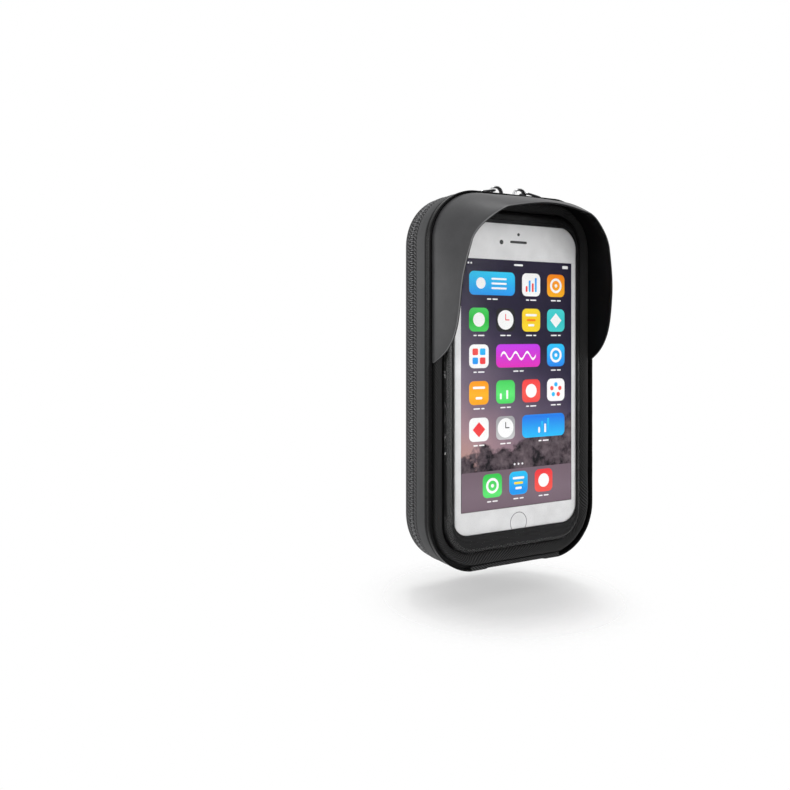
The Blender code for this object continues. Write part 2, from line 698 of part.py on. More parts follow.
def slider(side, x, parts, tools):
    """Zip slider, a rounded plate over the chain with an arched bridge for its pull."""
    under = slider_top()
    half_length = SLIDER_LENGTH / 2
    half_width = SLIDER_WIDTH / 2
    body = box("slider_" + side,
               world(x - half_length, PARTING - half_width, under),
               world(x + half_length, PARTING + half_width, under + SLIDER_PLATE),
               "metal", parts)
    bevel(body, SLIDER_ROUNDING)
    foot = under + SLIDER_PLATE / 2
    rise = SLIDER_PLATE / 2 + EYE_HEIGHT + BRIDGE_WALL / 2
    half_arch = (BRIDGE_LENGTH - BRIDGE_WALL) / 2
    bm = bmesh.new()
    rings = []
    for across in (-BRIDGE_WIDTH / 2, BRIDGE_WIDTH / 2):
        ring = []
        for step in range(BRIDGE_STEPS + 1):
            angle = math.pi * step / BRIDGE_STEPS
            flat = math.copysign(abs(math.cos(angle)) ** BRIDGE_SQUARENESS, math.cos(angle))
            ring.append(world(x + half_arch * flat, PARTING + across,
                              foot + rise * math.sin(angle) ** BRIDGE_SQUARENESS))
        rings.append(ring)
    skin_faces(bm, rings, closed_rings=False, closed_around=False)
    bridge = add_object("bridge_" + side, mesh_from(bm, "bridge_" + side), "metal", tools)
    solidify(bridge, BRIDGE_WALL, offset=0.0)
    boolean(body, bridge, "UNION")


def pull(side, x, facing, parts):
    """Wire loop that swings in the slider's bridge, lying away from the other slider."""
    pivot = world(x + facing * (BRIDGE_LENGTH / 2 - BRIDGE_WALL - 2 * PULL_WIRE),
                  PARTING, slider_top() + SLIDER_PLATE + PULL_PIVOT_RISE)
    curve = bpy.data.curves.new("pull_" + side, "CURVE")
    curve.dimensions = "3D"
    curve.bevel_depth = PULL_WIRE
    curve.bevel_resolution = 2
    curve.use_fill_caps = True
    points = []
    corners = ((1, 1, 0.0), (0, 1, 90.0), (0, -1, 180.0), (1, -1, 270.0))
    for far, side_y, start in corners:
        centre_along = PULL_LENGTH - PULL_CORNER if far else PULL_CORNER
        centre_y = side_y * (PULL_WIDTH / 2 - PULL_CORNER)
        for step in range(PULL_CORNER_STEPS + 1):
            angle = math.radians(start + 90.0 * step / PULL_CORNER_STEPS)
            along = centre_along + PULL_CORNER * math.cos(angle)
            across = centre_y + PULL_CORNER * math.sin(angle)
            points.append((facing * along * math.cos(PULL_TILT), across,
                           along * math.sin(PULL_TILT)))
    spline = curve.splines.new("POLY")
    spline.points.add(len(points) - 1)
    for point, place in zip(spline.points, points):
        point.co = (*place, 1.0)
    spline.use_cyclic_u = True
    curve.materials.append(material("metal"))
    loop = bpy.data.objects.new("pull_" + side, curve)
    loop.location = pivot
    parts.objects.link(loop)


def back_pad(parts):
    """Rubber pad that beds on the top tube."""
    front = BAG_DEPTH + GAP
    pad = plate("back_pad", PAD_WIDTH, PAD_HEIGHT, PAD_RADIUS, front, front + PAD_THICKNESS,
                "rubber", parts)
    bevel(pad, PAD_ROUNDING)


def strap_loop(name, height, parts):
    """Webbing loop that is sewn to the tub above and below its strap."""
    half_gap = STRAP_WIDTH / 2 + 3 * GAP
    ramp = LOOP_DEPTH - BAG_DEPTH
    seat = BAG_DEPTH + GAP + LOOP_WEBBING / 2
    crest = LOOP_DEPTH + LOOP_WEBBING / 2
    path = [(-LOOP_LENGTH / 2, seat), (-half_gap - ramp, seat), (-half_gap, crest),
            (half_gap, crest), (half_gap + ramp, seat), (LOOP_LENGTH / 2, seat)]
    bm = bmesh.new()
    rings = [[world(side * LOOP_WIDTH / 2, depth, height + along) for along, depth in path]
             for side in (-1, 1)]
    skin_faces(bm, rings, closed_rings=False, closed_around=False)
    webbing = add_object(name, mesh_from(bm, name), "fabric", parts)
    solidify(webbing, LOOP_WEBBING, offset=0.0)


def strap(name, height, parts):
    """Hook-and-loop strap, threaded through its loop and closed on itself."""
    turn_radius = (STRAP_OUTER_DEPTH - STRAP_INNER_DEPTH) / 2
    wide_radius = (STRAP_TOP_DEPTH - STRAP_INNER_DEPTH) / 2
    path = [(STRAP_OVERLAP / 2, STRAP_OUTER_DEPTH)]
    for step in range(STRAP_TURN_STEPS + 1):
        angle = math.pi * step / STRAP_TURN_STEPS
        path.append((-STRAP_HALF_SPAN - turn_radius * math.sin(angle),
                     STRAP_INNER_DEPTH + turn_radius * (1 + math.cos(angle))))
    for step in range(STRAP_TURN_STEPS + 1):
        angle = math.pi * step / STRAP_TURN_STEPS
        path.append((STRAP_HALF_SPAN + wide_radius * math.sin(angle),
                     STRAP_INNER_DEPTH + wide_radius * (1 - math.cos(angle))))
    path.append((-STRAP_OVERLAP / 2, STRAP_TOP_DEPTH))
    bm = bmesh.new()
    rings = [[world(x, depth, height + side * STRAP_WIDTH / 2) for x, depth in path]
             for side in (-1, 1)]
    skin_faces(bm, rings, closed_rings=False, closed_around=False)
    band = add_object(name, mesh_from(bm, name), "fabric", parts)
    solidify(band, STRAP_THICKNESS, offset=0.0)


def build():
    """Build the whole bag."""
    clear_scene()
    parts = new_collection("phone_bag")
    tools = new_collection("tools")
    hinge_recess = hinge_recess_cutter(tools)
    tub_shell(hinge_recess, parts)
    zip_tape("tub_zip_tape", TUB_TAPE_FRONT, parts)
    zip_teeth("tub_zip_teeth", TUB_TEETH_REAR, PARTING + TEETH_GAP, parts)
    back_pad(parts)
    for name, height in (("upper", STRAP_SPACING / 2), ("lower", -STRAP_SPACING / 2)):
        strap_loop("strap_loop_" + name, height, parts)
        strap("strap_" + name, height, parts)
    hinge_cloth(parts)
    lid_shell(hinge_recess, parts)
    lid_piping(parts)
    lid_frame_band(parts)
    window_film(parts)
    window_bezel(parts)
    visor(parts)
    zip_tape("lid_zip_tape", LID_TAPE_FRONT, parts)
    zip_teeth("lid_zip_teeth", LID_TEETH_FRONT, PARTING - TEETH_GAP, parts)
    phone(parts, tools)
    phone_pocket(parts)
    for side, x, facing in SLIDERS:
        slider(side, x, parts, tools)
        pull(side, x, facing, parts)


build()
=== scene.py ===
"""Looks of the top tube phone bag: its fine pieces and finishes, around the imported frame."""
import math

import bmesh
import bpy
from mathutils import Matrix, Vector, noise

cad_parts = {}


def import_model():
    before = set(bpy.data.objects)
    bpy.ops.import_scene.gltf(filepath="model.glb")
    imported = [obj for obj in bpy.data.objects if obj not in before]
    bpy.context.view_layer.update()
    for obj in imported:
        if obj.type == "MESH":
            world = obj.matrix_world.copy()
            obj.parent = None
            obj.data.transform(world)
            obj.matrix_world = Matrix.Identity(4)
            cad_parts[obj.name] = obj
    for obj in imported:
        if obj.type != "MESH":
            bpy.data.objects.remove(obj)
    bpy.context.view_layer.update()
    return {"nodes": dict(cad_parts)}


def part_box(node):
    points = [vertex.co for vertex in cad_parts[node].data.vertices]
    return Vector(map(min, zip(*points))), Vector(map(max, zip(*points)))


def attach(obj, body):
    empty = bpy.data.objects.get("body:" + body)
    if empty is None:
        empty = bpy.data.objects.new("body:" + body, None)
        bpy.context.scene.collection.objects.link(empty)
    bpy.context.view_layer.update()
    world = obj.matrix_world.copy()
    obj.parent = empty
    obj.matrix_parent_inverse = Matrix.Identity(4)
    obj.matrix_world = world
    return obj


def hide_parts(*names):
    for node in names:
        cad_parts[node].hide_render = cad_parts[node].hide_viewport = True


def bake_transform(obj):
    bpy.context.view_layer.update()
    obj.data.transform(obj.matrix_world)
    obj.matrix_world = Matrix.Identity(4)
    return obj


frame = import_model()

MM = 0.001
CLOTH_UV = "cloth"

# Sizes read from the frame: depths run backwards from the front rim
PIPING_LOW, PIPING_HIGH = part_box("lid_piping")
BAG_WIDTH = PIPING_HIGH.x - PIPING_LOW.x
BAG_HEIGHT = PIPING_HIGH.z
HALF_WIDTH = BAG_WIDTH / 2
HALF_HEIGHT = BAG_HEIGHT / 2
FRONT_Y = PIPING_LOW.y
MIDDLE_Z = HALF_HEIGHT


def depth_span(node):
    """Front and rear depth of a node behind the bag's front rim."""
    low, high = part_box(node)
    return low.y - FRONT_Y, high.y - FRONT_Y


PIPING_DEPTH = depth_span("lid_piping")[1]
WALL_FRONT, WALL_REAR = depth_span("lid_shell")
LID_TAPE_FRONT, LID_TAPE_REAR = depth_span("lid_zip_tape")
LID_TEETH_FRONT = depth_span("lid_zip_teeth")[0]
TUB_TEETH_REAR = depth_span("tub_zip_teeth")[1]
TUB_TAPE_FRONT, TUB_TAPE_REAR = depth_span("tub_zip_tape")
TUB_FRONT, BAG_DEPTH = depth_span("tub_shell")
BAND_REAR = depth_span("lid_frame_band")[1]
FILM_TOP, FILM_FOOT = depth_span("window_film")
BEZEL_TOP, BEZEL_FOOT = depth_span("window_bezel")
PHONE_FRONT = depth_span("phone_front")[0]
PARTING = (LID_TEETH_FRONT + TUB_TEETH_REAR) / 2

# Outline, insets and thicknesses, as the solids have them
CORNER_RADIUS = 26.0 * MM
RECESS_RADIUS = 15.5 * MM
WALL_INSET = 0.3 * MM
WALL_INNER = 2.5 * MM
FLANGE_FRONT = 5.25 * MM
FLANGE_REAR = 6.85 * MM
PIPING_WIDTH = 1.1 * MM
VISOR_MIDDLE = 1.95 * MM
VISOR_THICKNESS = 1.1 * MM
BAND_OUTER = 2.8 * MM
BAND_INNER = 8.0 * MM
FILM_INSET = 8.3 * MM
FILM_THICKNESS = 0.3 * MM
BEZEL_INSET = 8.9 * MM
BEZEL_THICKNESS = 1.0 * MM
CROWN_RUN = 2.9 * MM
CROWN_HEIGHT = 3.2 * MM
WINDOW_SIDE_MARGIN = 0.4 * MM
WINDOW_END_OVERLAP = 3.55 * MM
WINDOW_RADIUS = 9.0 * MM
WINDOW_CENTRE = (0.6 * MM, 1.35 * MM)
TAPE_INSET = 0.6 * MM
TAPE_THICKNESS = 0.8 * MM
HINGE_WIDTH = 54.0 * MM
HINGE_GAP = 0.3 * MM
HINGE_CLOTH = 0.8 * MM
HINGE_TAIL = 9.0 * MM
HINGE_SEAT = 1.15 * MM
TUB_COLLAR = 1.4 * MM
TUB_TAPER = 0.6
TUB_TAPER_DEPTH = 16.0 * MM
TUB_EDGE_RADIUS = 6.0 * MM
TUB_WALL = 2.0 * MM
PHONE_RADIUS = 12.0 * MM

# Sun visor
REACH_TOP = 27.0 * MM
REACH_SIDE = 18.4 * MM
VISOR_END_HEIGHT = 9.0 * MM
VISOR_CURL = 9.0 * MM
VISOR_ARCH_SIDE = 36.0 * MM
LEAN_TOP = 6.1 * MM
LEAN_SIDE = 2.9 * MM
LEAN_CORNER = 6.0 * MM
LEAN_POWER = 1.5

# How finely the closed rings are divided
CORNER_STEPS = 20
ACROSS_STEPS = 30
DOWN_STEPS = 140

TOP_RUN = HALF_WIDTH - CORNER_RADIUS
CORNER_RUN = math.pi / 2 * CORNER_RADIUS
SIDE_RUN = BAG_HEIGHT - 2 * CORNER_RADIUS
HALF_OUTLINE = 2 * TOP_RUN + 2 * CORNER_RUN + SIDE_RUN
CHAIN_END = HALF_OUTLINE - HINGE_WIDTH / 2 - HINGE_GAP
QUARTERS = ((1, 1, 0.0), (-1, 1, 90.0), (-1, -1, 180.0), (1, -1, 270.0))


def world(x, depth, height):
    """Turn a place on the bag into world coordinates."""
    return Vector((x, FRONT_Y + depth, MIDDLE_Z + height))


def smooth(value):
    """Ease a value between 0 and 1."""
    value = min(1.0, max(0.0, value))
    return value * value * (3 - 2 * value)


def turns(count):
    """The angles that divide a full turn into equal steps."""
    return [2 * math.pi * step / count for step in range(count)]


def ripple(point, pitch, seed=0.0):
    """Smooth noise between -1 and 1 with a given pitch."""
    return noise.noise(Vector(point) / pitch + Vector((seed, seed * 1.7, -seed)))


# Materials


def add_node(tree, kind, inputs=None, **settings):
    """Add a shader node. Each of its inputs takes a plain value or another node's socket."""
    made = tree.nodes.new(kind)
    for key, value in settings.items():
        setattr(made, key, value)
    for key, value in (inputs or {}).items():
        if isinstance(value, bpy.types.NodeSocket):
            tree.links.new(value, made.inputs[key])
        else:
            made.inputs[key].default_value = value
    return made


def new_material(name, colour, roughness, **sockets):
    """Make a material with a Principled shader and constants on its own sockets."""
    made = bpy.data.materials.new(name)
    made.use_nodes = True
    shader = made.node_tree.nodes["Principled BSDF"]
    shader.inputs["Base Color"].default_value = (*colour, 1.0)
    shader.inputs["Roughness"].default_value = roughness
    for key, value in sockets.items():
        shader.inputs[key.replace("_", " ")].default_value = value
    made.diffuse_color = (*colour, 1.0)
    return made, made.node_tree, shader


def object_place(tree):
    """The place on the piece in its own coordinates, in metres."""
    return add_node(tree, "ShaderNodeTexCoord").outputs["Object"]


def cloth_place(tree, turn):
    """The place along and across a strip of cloth, in metres, turned by some degrees."""
    source = add_node(tree, "ShaderNodeUVMap", uv_map=CLOTH_UV)
    mapping = add_node(tree, "ShaderNodeMapping", {"Vector": source.outputs["UV"],
                                                   "Rotation": (0.0, 0.0, math.radians(turn))})
    return mapping.outputs["Vector"]


def noise_at(tree, place, pitch, detail=3.0, roughness=0.55):
    """Noise with features of about one pitch, in metres."""
    made = add_node(tree, "ShaderNodeTexNoise", {"Vector": place, "Scale": 1.0 / pitch,
                                                 "Detail": detail, "Roughness": roughness})
    return made.outputs["Fac"]


def ribs_at(tree, place, pitch):
    """Round ribs that repeat every pitch along the first axis of a place."""
    made = add_node(tree, "ShaderNodeTexWave",
                    {"Vector": place, "Scale": math.pi / 10 / pitch, "Distortion": 0.0},
                    wave_type="BANDS", bands_direction="X", wave_profile="SIN")
    return made.outputs["Fac"]


def math_of(tree, operation, first, second):
    """Combine two values, each a socket or a number."""
    return add_node(tree, "ShaderNodeMath", {0: first, 1: second}, operation=operation).outputs["Value"]


def map_range(tree, value, from_low, from_high, to_low=0.0, to_high=1.0, **settings):
    """Map a value from one range onto another."""
    made = add_node(tree, "ShaderNodeMapRange",
                    {"Value": value, "From Min": from_low, "From Max": from_high,
                     "To Min": to_low, "To Max": to_high}, **settings)
    return made.outputs["Result"]


def ramp_of(tree, fac, stops):
    """Colour a value by stops of place and colour."""
    made = add_node(tree, "ShaderNodeValToRGB", {"Fac": fac})
    elements = made.color_ramp.elements
    while len(elements) < len(stops):
        elements.new(0.5)
    for element, (place, colour) in zip(elements, stops):
        element.position = place
        element.color = (*colour, 1.0)
    return made.outputs["Color"]


def tint(tree, shader, fac, colour, spread):
    """Vary a shader's colour between a darker and a lighter shade."""
    dark = tuple(part * (1 - spread) for part in colour)
    light = tuple(min(1.0, part * (1 + spread)) for part in colour)
    tree.links.new(ramp_of(tree, fac, ((0.25, dark), (0.75, light))), shader.inputs["Base Color"])


def roughen(tree, shader, fac, low, high):
    """Vary a shader's roughness."""
    tree.links.new(map_range(tree, fac, 0.0, 1.0, low, high), shader.inputs["Roughness"])


def bump(tree, shader, height, distance):
    """Raise a surface by a height map over a distance in metres."""
    made = add_node(tree, "ShaderNodeBump", {"Height": height, "Strength": 1.0, "Distance": distance})
    tree.links.new(made.outputs["Normal"], shader.inputs["Normal"])


def laminate(name, colour, roughness, grain=0.55 * MM, depth=0.03 * MM, gloss=0.35):
    """Moulded shell cloth: a fine pebbled grain with faint mottling."""
    made, tree, shader = new_material(name, colour, roughness, Specular_IOR_Level=gloss)
    place = object_place(tree)
    tint(tree, shader, noise_at(tree, place, 6.0 * MM, 4.0), colour, 0.1)
    cells = add_node(tree, "ShaderNodeTexVoronoi", {"Vector": place, "Scale": 1.0 / grain},
                     feature="SMOOTH_F1")
    fine = noise_at(tree, place, grain * 0.6, 2.0)
    height = math_of(tree, "ADD", cells.outputs["Distance"], math_of(tree, "MULTIPLY", fine, 0.6))
    roughen(tree, shader, fine, roughness - 0.07, roughness + 0.09)
    bump(tree, shader, height, depth)
    return made


def woven(name, colour, roughness, pitch, turn=0.0, depth=0.12 * MM, painted_rib_shade=0.6):
    """Ribbed cloth: raised ribs crossed by finer threads. Its colour follows the relief: painted shade in
    the gaps between the ribs and a painted highlight on their tops.
    """
    made, tree, shader = new_material(name, colour, roughness, Sheen_Weight=0.04,
                                      Sheen_Roughness=0.45, Specular_IOR_Level=0.2)
    ribs = ribs_at(tree, cloth_place(tree, turn), pitch)
    threads = ribs_at(tree, cloth_place(tree, turn + 90.0), pitch * 0.62)
    fuzz = noise_at(tree, object_place(tree), pitch * 0.5, 3.0)
    crossed = math_of(tree, "MULTIPLY", ribs,
                      math_of(tree, "ADD", 0.6, math_of(tree, "MULTIPLY", threads, 0.4)))
    height = math_of(tree, "ADD", math_of(tree, "MULTIPLY", crossed, 0.8),
                     math_of(tree, "MULTIPLY", fuzz, 0.2))
    # Colour by relief: painted shade in the gaps, painted highlight on the ribs
    tint(tree, shader, height, colour, painted_rib_shade)
    roughen(tree, shader, fuzz, roughness - 0.08, min(1.0, roughness + 0.1))
    bump(tree, shader, height, depth)
    return made


def smooth_plastic(name, colour, roughness, **sockets):
    """Smooth moulded plastic with a faint orange-peel and uneven gloss."""
    made, tree, shader = new_material(name, colour, roughness, **sockets)
    place = object_place(tree)
    cloud = noise_at(tree, place, 9.0 * MM, 3.0)
    tint(tree, shader, cloud, colour, 0.08)
    roughen(tree, shader, noise_at(tree, place, 2.0 * MM, 4.0), roughness - 0.05, roughness + 0.07)
    bump(tree, shader, noise_at(tree, place, 1.3 * MM, 2.0), 0.01 * MM)
    return made


def polished_metal(name, colour, roughness):
    """Plated metal with fine rubbing marks."""
    made, tree, shader = new_material(name, colour, roughness, Metallic=1.0)
    place = object_place(tree)
    tint(tree, shader, noise_at(tree, place, 1.5 * MM, 3.0), colour, 0.06)
    roughen(tree, shader, noise_at(tree, place, 0.4 * MM, 4.0), roughness * 0.6, roughness * 1.6)
    bump(tree, shader, noise_at(tree, place, 0.5 * MM, 2.0), 0.004 * MM)
    return made


def soft_pile(name, colour, pitch):
    """Foam or brushed lining: a matt, uneven surface."""
    made, tree, shader = new_material(name, colour, 0.92, Sheen_Weight=0.05, Sheen_Roughness=0.6,
                                      Specular_IOR_Level=0.1)
    place = object_place(tree)
    pores = noise_at(tree, place, pitch, 5.0, 0.7)
    tint(tree, shader, pores, colour, 0.35)
    bump(tree, shader, pores, pitch * 0.5)
    return made


def clear_film(name, alpha, mirror, roughness):
    """Clear film: an almost invisible sheet that keeps its gloss."""
    made, tree, shader = new_material(name, (mirror,) * 3, roughness, Metallic=1.0, Alpha=alpha)
    bump(tree, shader, noise_at(tree, object_place(tree), 14.0 * MM, 1.0), 0.25 * MM)
    return made


def film_glint(name, mirror, roughness):
    """The film's folded foot, which glints in places."""
    made, tree, shader = new_material(name, (mirror,) * 3, roughness, Metallic=1.0)
    place = object_place(tree)
    share = map_range(tree, noise_at(tree, place, 3.2 * MM, 4.0, 0.7), 0.42, 0.62, 0.04, 0.5)
    tree.links.new(share, shader.inputs["Alpha"])
    bump(tree, shader, noise_at(tree, place, 1.6 * MM, 3.0), 0.3 * MM)
    return made


def wallpaper():
    """Generic dusk over hills: fields of colour from dark violet down to grey-brown."""
    made, tree, shader = new_material("screen_wallpaper", (0.1, 0.08, 0.13), 0.12,
                                      Specular_IOR_Level=0.1)
    place = object_place(tree)
    split = add_node(tree, "ShaderNodeSeparateXYZ", {"Vector": place})
    low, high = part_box("phone_screen")
    rise = map_range(tree, split.outputs["Z"], low.z, high.z)
    side = map_range(tree, split.outputs["X"], low.x, high.x)
    glow = math_of(tree, "ADD", rise, math_of(tree, "MULTIPLY", side, 0.4))
    haze = noise_at(tree, place, 26.0 * MM, 4.0)
    glow = math_of(tree, "ADD", glow, math_of(tree, "MULTIPLY", haze, 0.16))
    sky = ramp_of(tree, glow, (
        (0.24, (0.5, 0.29, 0.24)), (0.42, (0.36, 0.23, 0.26)), (0.62, (0.16, 0.12, 0.17)),
        (0.88, (0.045, 0.035, 0.07)), (1.0, (0.022, 0.018, 0.04))))
    ridge = noise_at(tree, place, 21.0 * MM, 5.0, 0.6)
    crest = math_of(tree, "ADD", math_of(tree, "MULTIPLY", ridge, 0.3),
                    math_of(tree, "MULTIPLY", side, 0.2))
    below = math_of(tree, "SUBTRACT", crest, math_of(tree, "SUBTRACT", rise, 0.04))
    hill = ramp_of(tree, below, ((0.0, (0.0, 0.0, 0.0)), (0.02, (1.0, 1.0, 1.0))))
    rocks = noise_at(tree, place, 7.0 * MM, 6.0, 0.65)
    ground = ramp_of(tree, rocks, (
        (0.4, (0.008, 0.007, 0.01)), (0.5, (0.07, 0.052, 0.062)), (0.72, (0.17, 0.13, 0.145))))
    mix = add_node(tree, "ShaderNodeMix", {"Factor": hill, "A": sky, "B": ground}, data_type="RGBA")
    tree.links.new(mix.outputs["Result"], shader.inputs["Base Color"])
    return made


def tile_colour(name, lower, upper):
    """Bright flat colour of a screen tile, shaded a little from bottom to top."""
    pitch = 12.0 * MM
    made, tree, shader = new_material("tile_" + name, lower, 0.2, Specular_IOR_Level=0.1)
    split = add_node(tree, "ShaderNodeSeparateXYZ", {"Vector": object_place(tree)})
    wave = math_of(tree, "PINGPONG", split.outputs["Z"], pitch)
    share = math_of(tree, "DIVIDE", wave, pitch)
    tree.links.new(ramp_of(tree, share, ((0.0, lower), (1.0, upper))), shader.inputs["Base Color"])
    return made


SHELL_CLOTH = laminate("shell_cloth", (0.043, 0.044, 0.0455), 0.6)
TUB_CLOTH = laminate("tub_cloth", (0.055, 0.056, 0.058), 0.64, grain=0.8 * MM, depth=0.05 * MM)
VISOR_CLOTH = laminate("visor_outside", (0.053, 0.053, 0.055), 0.46, grain=0.5 * MM, depth=0.035 * MM,
                       gloss=0.3)
VISOR_LINING = laminate("visor_inside", (0.004, 0.004, 0.0045), 0.55, grain=0.7 * MM, gloss=0.12)
# Edge colour of the visor, twice as light as its outside: a painted highlight along the free edge
VISOR_EDGE_HIGHLIGHT = smooth_plastic("visor_edge", (0.11, 0.11, 0.113), 0.35)
# Woven cloths: their spread of colour between gaps and ribs is painted shade and painted highlight
BAND_CLOTH = woven("frame_cloth", (0.018, 0.018, 0.0184), 0.7, 1.05 * MM, turn=52.0,
                   depth=0.3 * MM, painted_rib_shade=0.97)
HINGE_FABRIC = woven("hinge_cloth", (0.025, 0.025, 0.0255), 0.75, 1.05 * MM, turn=52.0,
                     depth=0.3 * MM, painted_rib_shade=0.95)
TAPE_CLOTH = woven("zip_tape", (0.078, 0.078, 0.08), 0.7, 1.5 * MM, turn=28.0, depth=0.2 * MM,
                   painted_rib_shade=0.75)
COIL_NYLON = smooth_plastic("zip_coil", (0.125, 0.126, 0.13), 0.42, Specular_IOR_Level=0.4)
PIPING_VINYL = smooth_plastic("piping", (0.005, 0.005, 0.0053), 0.26, Specular_IOR_Level=0.04)
# Darker colour for the lid wall's front edge: painted shade next to the bead
WALL_EDGE_SHADE = laminate("wall_edge_painted_shade", (0.014, 0.014, 0.0145), 0.6, gloss=0.15)
BEZEL_PLASTIC = smooth_plastic("bezel", (0.009, 0.009, 0.0095), 0.45, Specular_IOR_Level=0.12)
FILM = clear_film("window_film", 0.02, 0.12, 0.4)
FILM_CROWN = clear_film("window_film_crown", 0.1, 0.25, 0.42)
FILM_GLINT = film_glint("window_film_foot", 0.7, 0.25)
LINING = soft_pile("lining", (0.02, 0.0205, 0.022), 0.8 * MM)
FOAM = soft_pile("foam", (0.012, 0.012, 0.0125), 0.5 * MM)
WEBBING = woven("webbing", (0.02, 0.02, 0.021), 0.75, 1.1 * MM, depth=0.22 * MM, painted_rib_shade=0.7)
STRAP_LOOPS = soft_pile("strap_loops", (0.017, 0.017, 0.018), 0.45 * MM)
THREAD = woven("thread", (0.04, 0.04, 0.042), 0.7, 0.4 * MM, turn=60.0, depth=0.05 * MM)
RUBBER = smooth_plastic("pad_rubber", (0.013, 0.013, 0.014), 0.7, Specular_IOR_Level=0.3)
# Chrome, also a painted highlight on the pulls' tops; dark plating, also painted shade inside the sliders'
# arches
CHROME_AND_HIGHLIGHT = polished_metal("slider_chrome_and_painted_highlight", (0.7, 0.7, 0.71), 0.1)
DARK_PLATING_AND_SHADE = polished_metal("slider_dark_plating_and_painted_shade", (0.03, 0.03, 0.032), 0.3)
PHONE_METAL = polished_metal("phone_metal", (0.62, 0.63, 0.64), 0.34)
PHONE_WHITE = smooth_plastic("phone_front", (0.7, 0.7, 0.705), 0.1, Specular_IOR_Level=0.3)
PHONE_DARK = smooth_plastic("phone_openings", (0.01, 0.01, 0.011), 0.4)
KEY_RING = polished_metal("key_ring", (0.2, 0.2, 0.21), 0.4)
SCREEN = wallpaper()


# Meshes


def mesh_piece(name, bm, materials, smooth_degrees=50.0, outward=True):
    """Turn a bmesh into a smooth piece with its materials, as a rule with its faces turned outward."""
    if outward:
        bmesh.ops.recalc_face_normals(bm, faces=bm.faces)
    mesh = bpy.data.meshes.new(name)
    bm.to_mesh(mesh)
    bm.free()
    for item in materials:
        mesh.materials.append(item)
    mesh.shade_smooth()
    mesh.set_sharp_from_angle(angle=math.radians(smooth_degrees))
    piece = bpy.data.objects.new(name, mesh)
    bpy.context.scene.collection.objects.link(piece)
    return piece


def ring_length(points, closed):
    """Running length along a row of points, with the closing stretch if it is closed."""
    runs = [0.0]
    for first, second in zip(points, points[1:]):
        runs.append(runs[-1] + (second - first).length)
    if closed:
        runs.append(runs[-1] + (points[0] - points[-1]).length)
    return runs


def add_skin(bm, rows, close_rows=False, close_around=True, strip_material=None):
    """Join rows of points with faces whose cloth map runs along and across them in metres."""
    layer = bm.loops.layers.uv.get(CLOTH_UV) or bm.loops.layers.uv.new(CLOTH_UV)
    verts = [[bm.verts.new(point) for point in row] for row in rows]
    runs = ring_length(rows[0], close_around)
    across = ring_length([row[0] for row in rows], close_rows)
    count = len(rows[0])
    row_total = len(rows) if close_rows else len(rows) - 1
    for i in range(row_total):
        after = (i + 1) % len(rows)
        for j in range(count if close_around else count - 1):
            beside = (j + 1) % count
            face = bm.faces.new((verts[i][j], verts[i][beside], verts[after][beside], verts[after][j]))
            face.material_index = strip_material[i] if strip_material else 0
            corners = ((runs[j], across[i]), (runs[j + 1], across[i]),
                       (runs[j + 1], across[i + 1]), (runs[j], across[i + 1]))
            for loop, place in zip(face.loops, corners):
                loop[layer].uv = place
    return verts


def cap(bm, row, flip=False, material=0):
    """Close the end of a skin with one face."""
    bm.faces.new(list(reversed(row)) if flip else row).material_index = material


def add_solid(bm, rows, strip_material=None, first=0, last=0):
    """Join rows of points with faces and close both ends, each in its own material."""
    verts = add_skin(bm, rows, strip_material=strip_material)
    cap(bm, verts[0], material=first)
    cap(bm, verts[-1], flip=True, material=last)
    return verts


def closed_piece(name, rows, materials, strip_material=None, smooth_degrees=50.0, close_around=True):
    """A piece whose rows close on themselves, capped at its ends if it doesn't go all round."""
    bm = bmesh.new()
    verts = add_skin(bm, rows, close_rows=True, close_around=close_around,
                     strip_material=strip_material)
    if not close_around:
        cap(bm, [row[0] for row in verts])
        cap(bm, [row[-1] for row in verts], flip=True)
    return mesh_piece(name, bm, materials, smooth_degrees)


def thicken(piece, thickness, offset=0.0):
    """Give a sheet its thickness."""
    solid = piece.modifiers.new("thickness", "SOLIDIFY")
    solid.thickness = thickness
    solid.offset = offset
    return solid


def settle(piece, body, slot, *nodes):
    """Let a piece ride on its body and stand for its nodes. Its slot argument is not used."""
    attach(piece, body)
    if nodes:
        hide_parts(*nodes)
    return piece


def ring(half_width, half_height, radius, depth, centre=(0.0, 0.0)):
    """Points of an upright rounded rectangle, the same places in the same order at any size."""

    def corner_point(quarter, degrees):
        side_x, side_z, _ = QUARTERS[quarter % 4]
        angle = math.radians(degrees)
        return (centre[0] + side_x * (half_width - radius) + radius * math.cos(angle),
                centre[1] + side_z * (half_height - radius) + radius * math.sin(angle))

    points = []
    for quarter, (_, _, start) in enumerate(QUARTERS):
        for step in range(CORNER_STEPS + 1):
            x, z = corner_point(quarter, start + 90.0 * step / CORNER_STEPS)
            points.append(world(x, depth, z))
        here = corner_point(quarter, start + 90.0)
        there = corner_point(quarter + 1, start + 90.0)
        steps = DOWN_STEPS if quarter % 2 else ACROSS_STEPS
        for step in range(1, steps):
            share = step / steps
            points.append(world(here[0] + (there[0] - here[0]) * share, depth,
                                here[1] + (there[1] - here[1]) * share))
    return points


def inset_ring(inset, depth, radius=None):
    """Ring parallel to the bag's outline unless it has its own radius."""
    if radius is None:
        radius = CORNER_RADIUS - inset
    return ring(HALF_WIDTH - inset, HALF_HEIGHT - inset, radius, depth)


def between(first, second, share, depth=None):
    """Ring part of the way from one ring to another, at its own depth if one is given."""
    points = [a.lerp(b, share) for a, b in zip(first, second)]
    if depth is not None:
        for point in points:
            point.y = FRONT_Y + depth
    return points


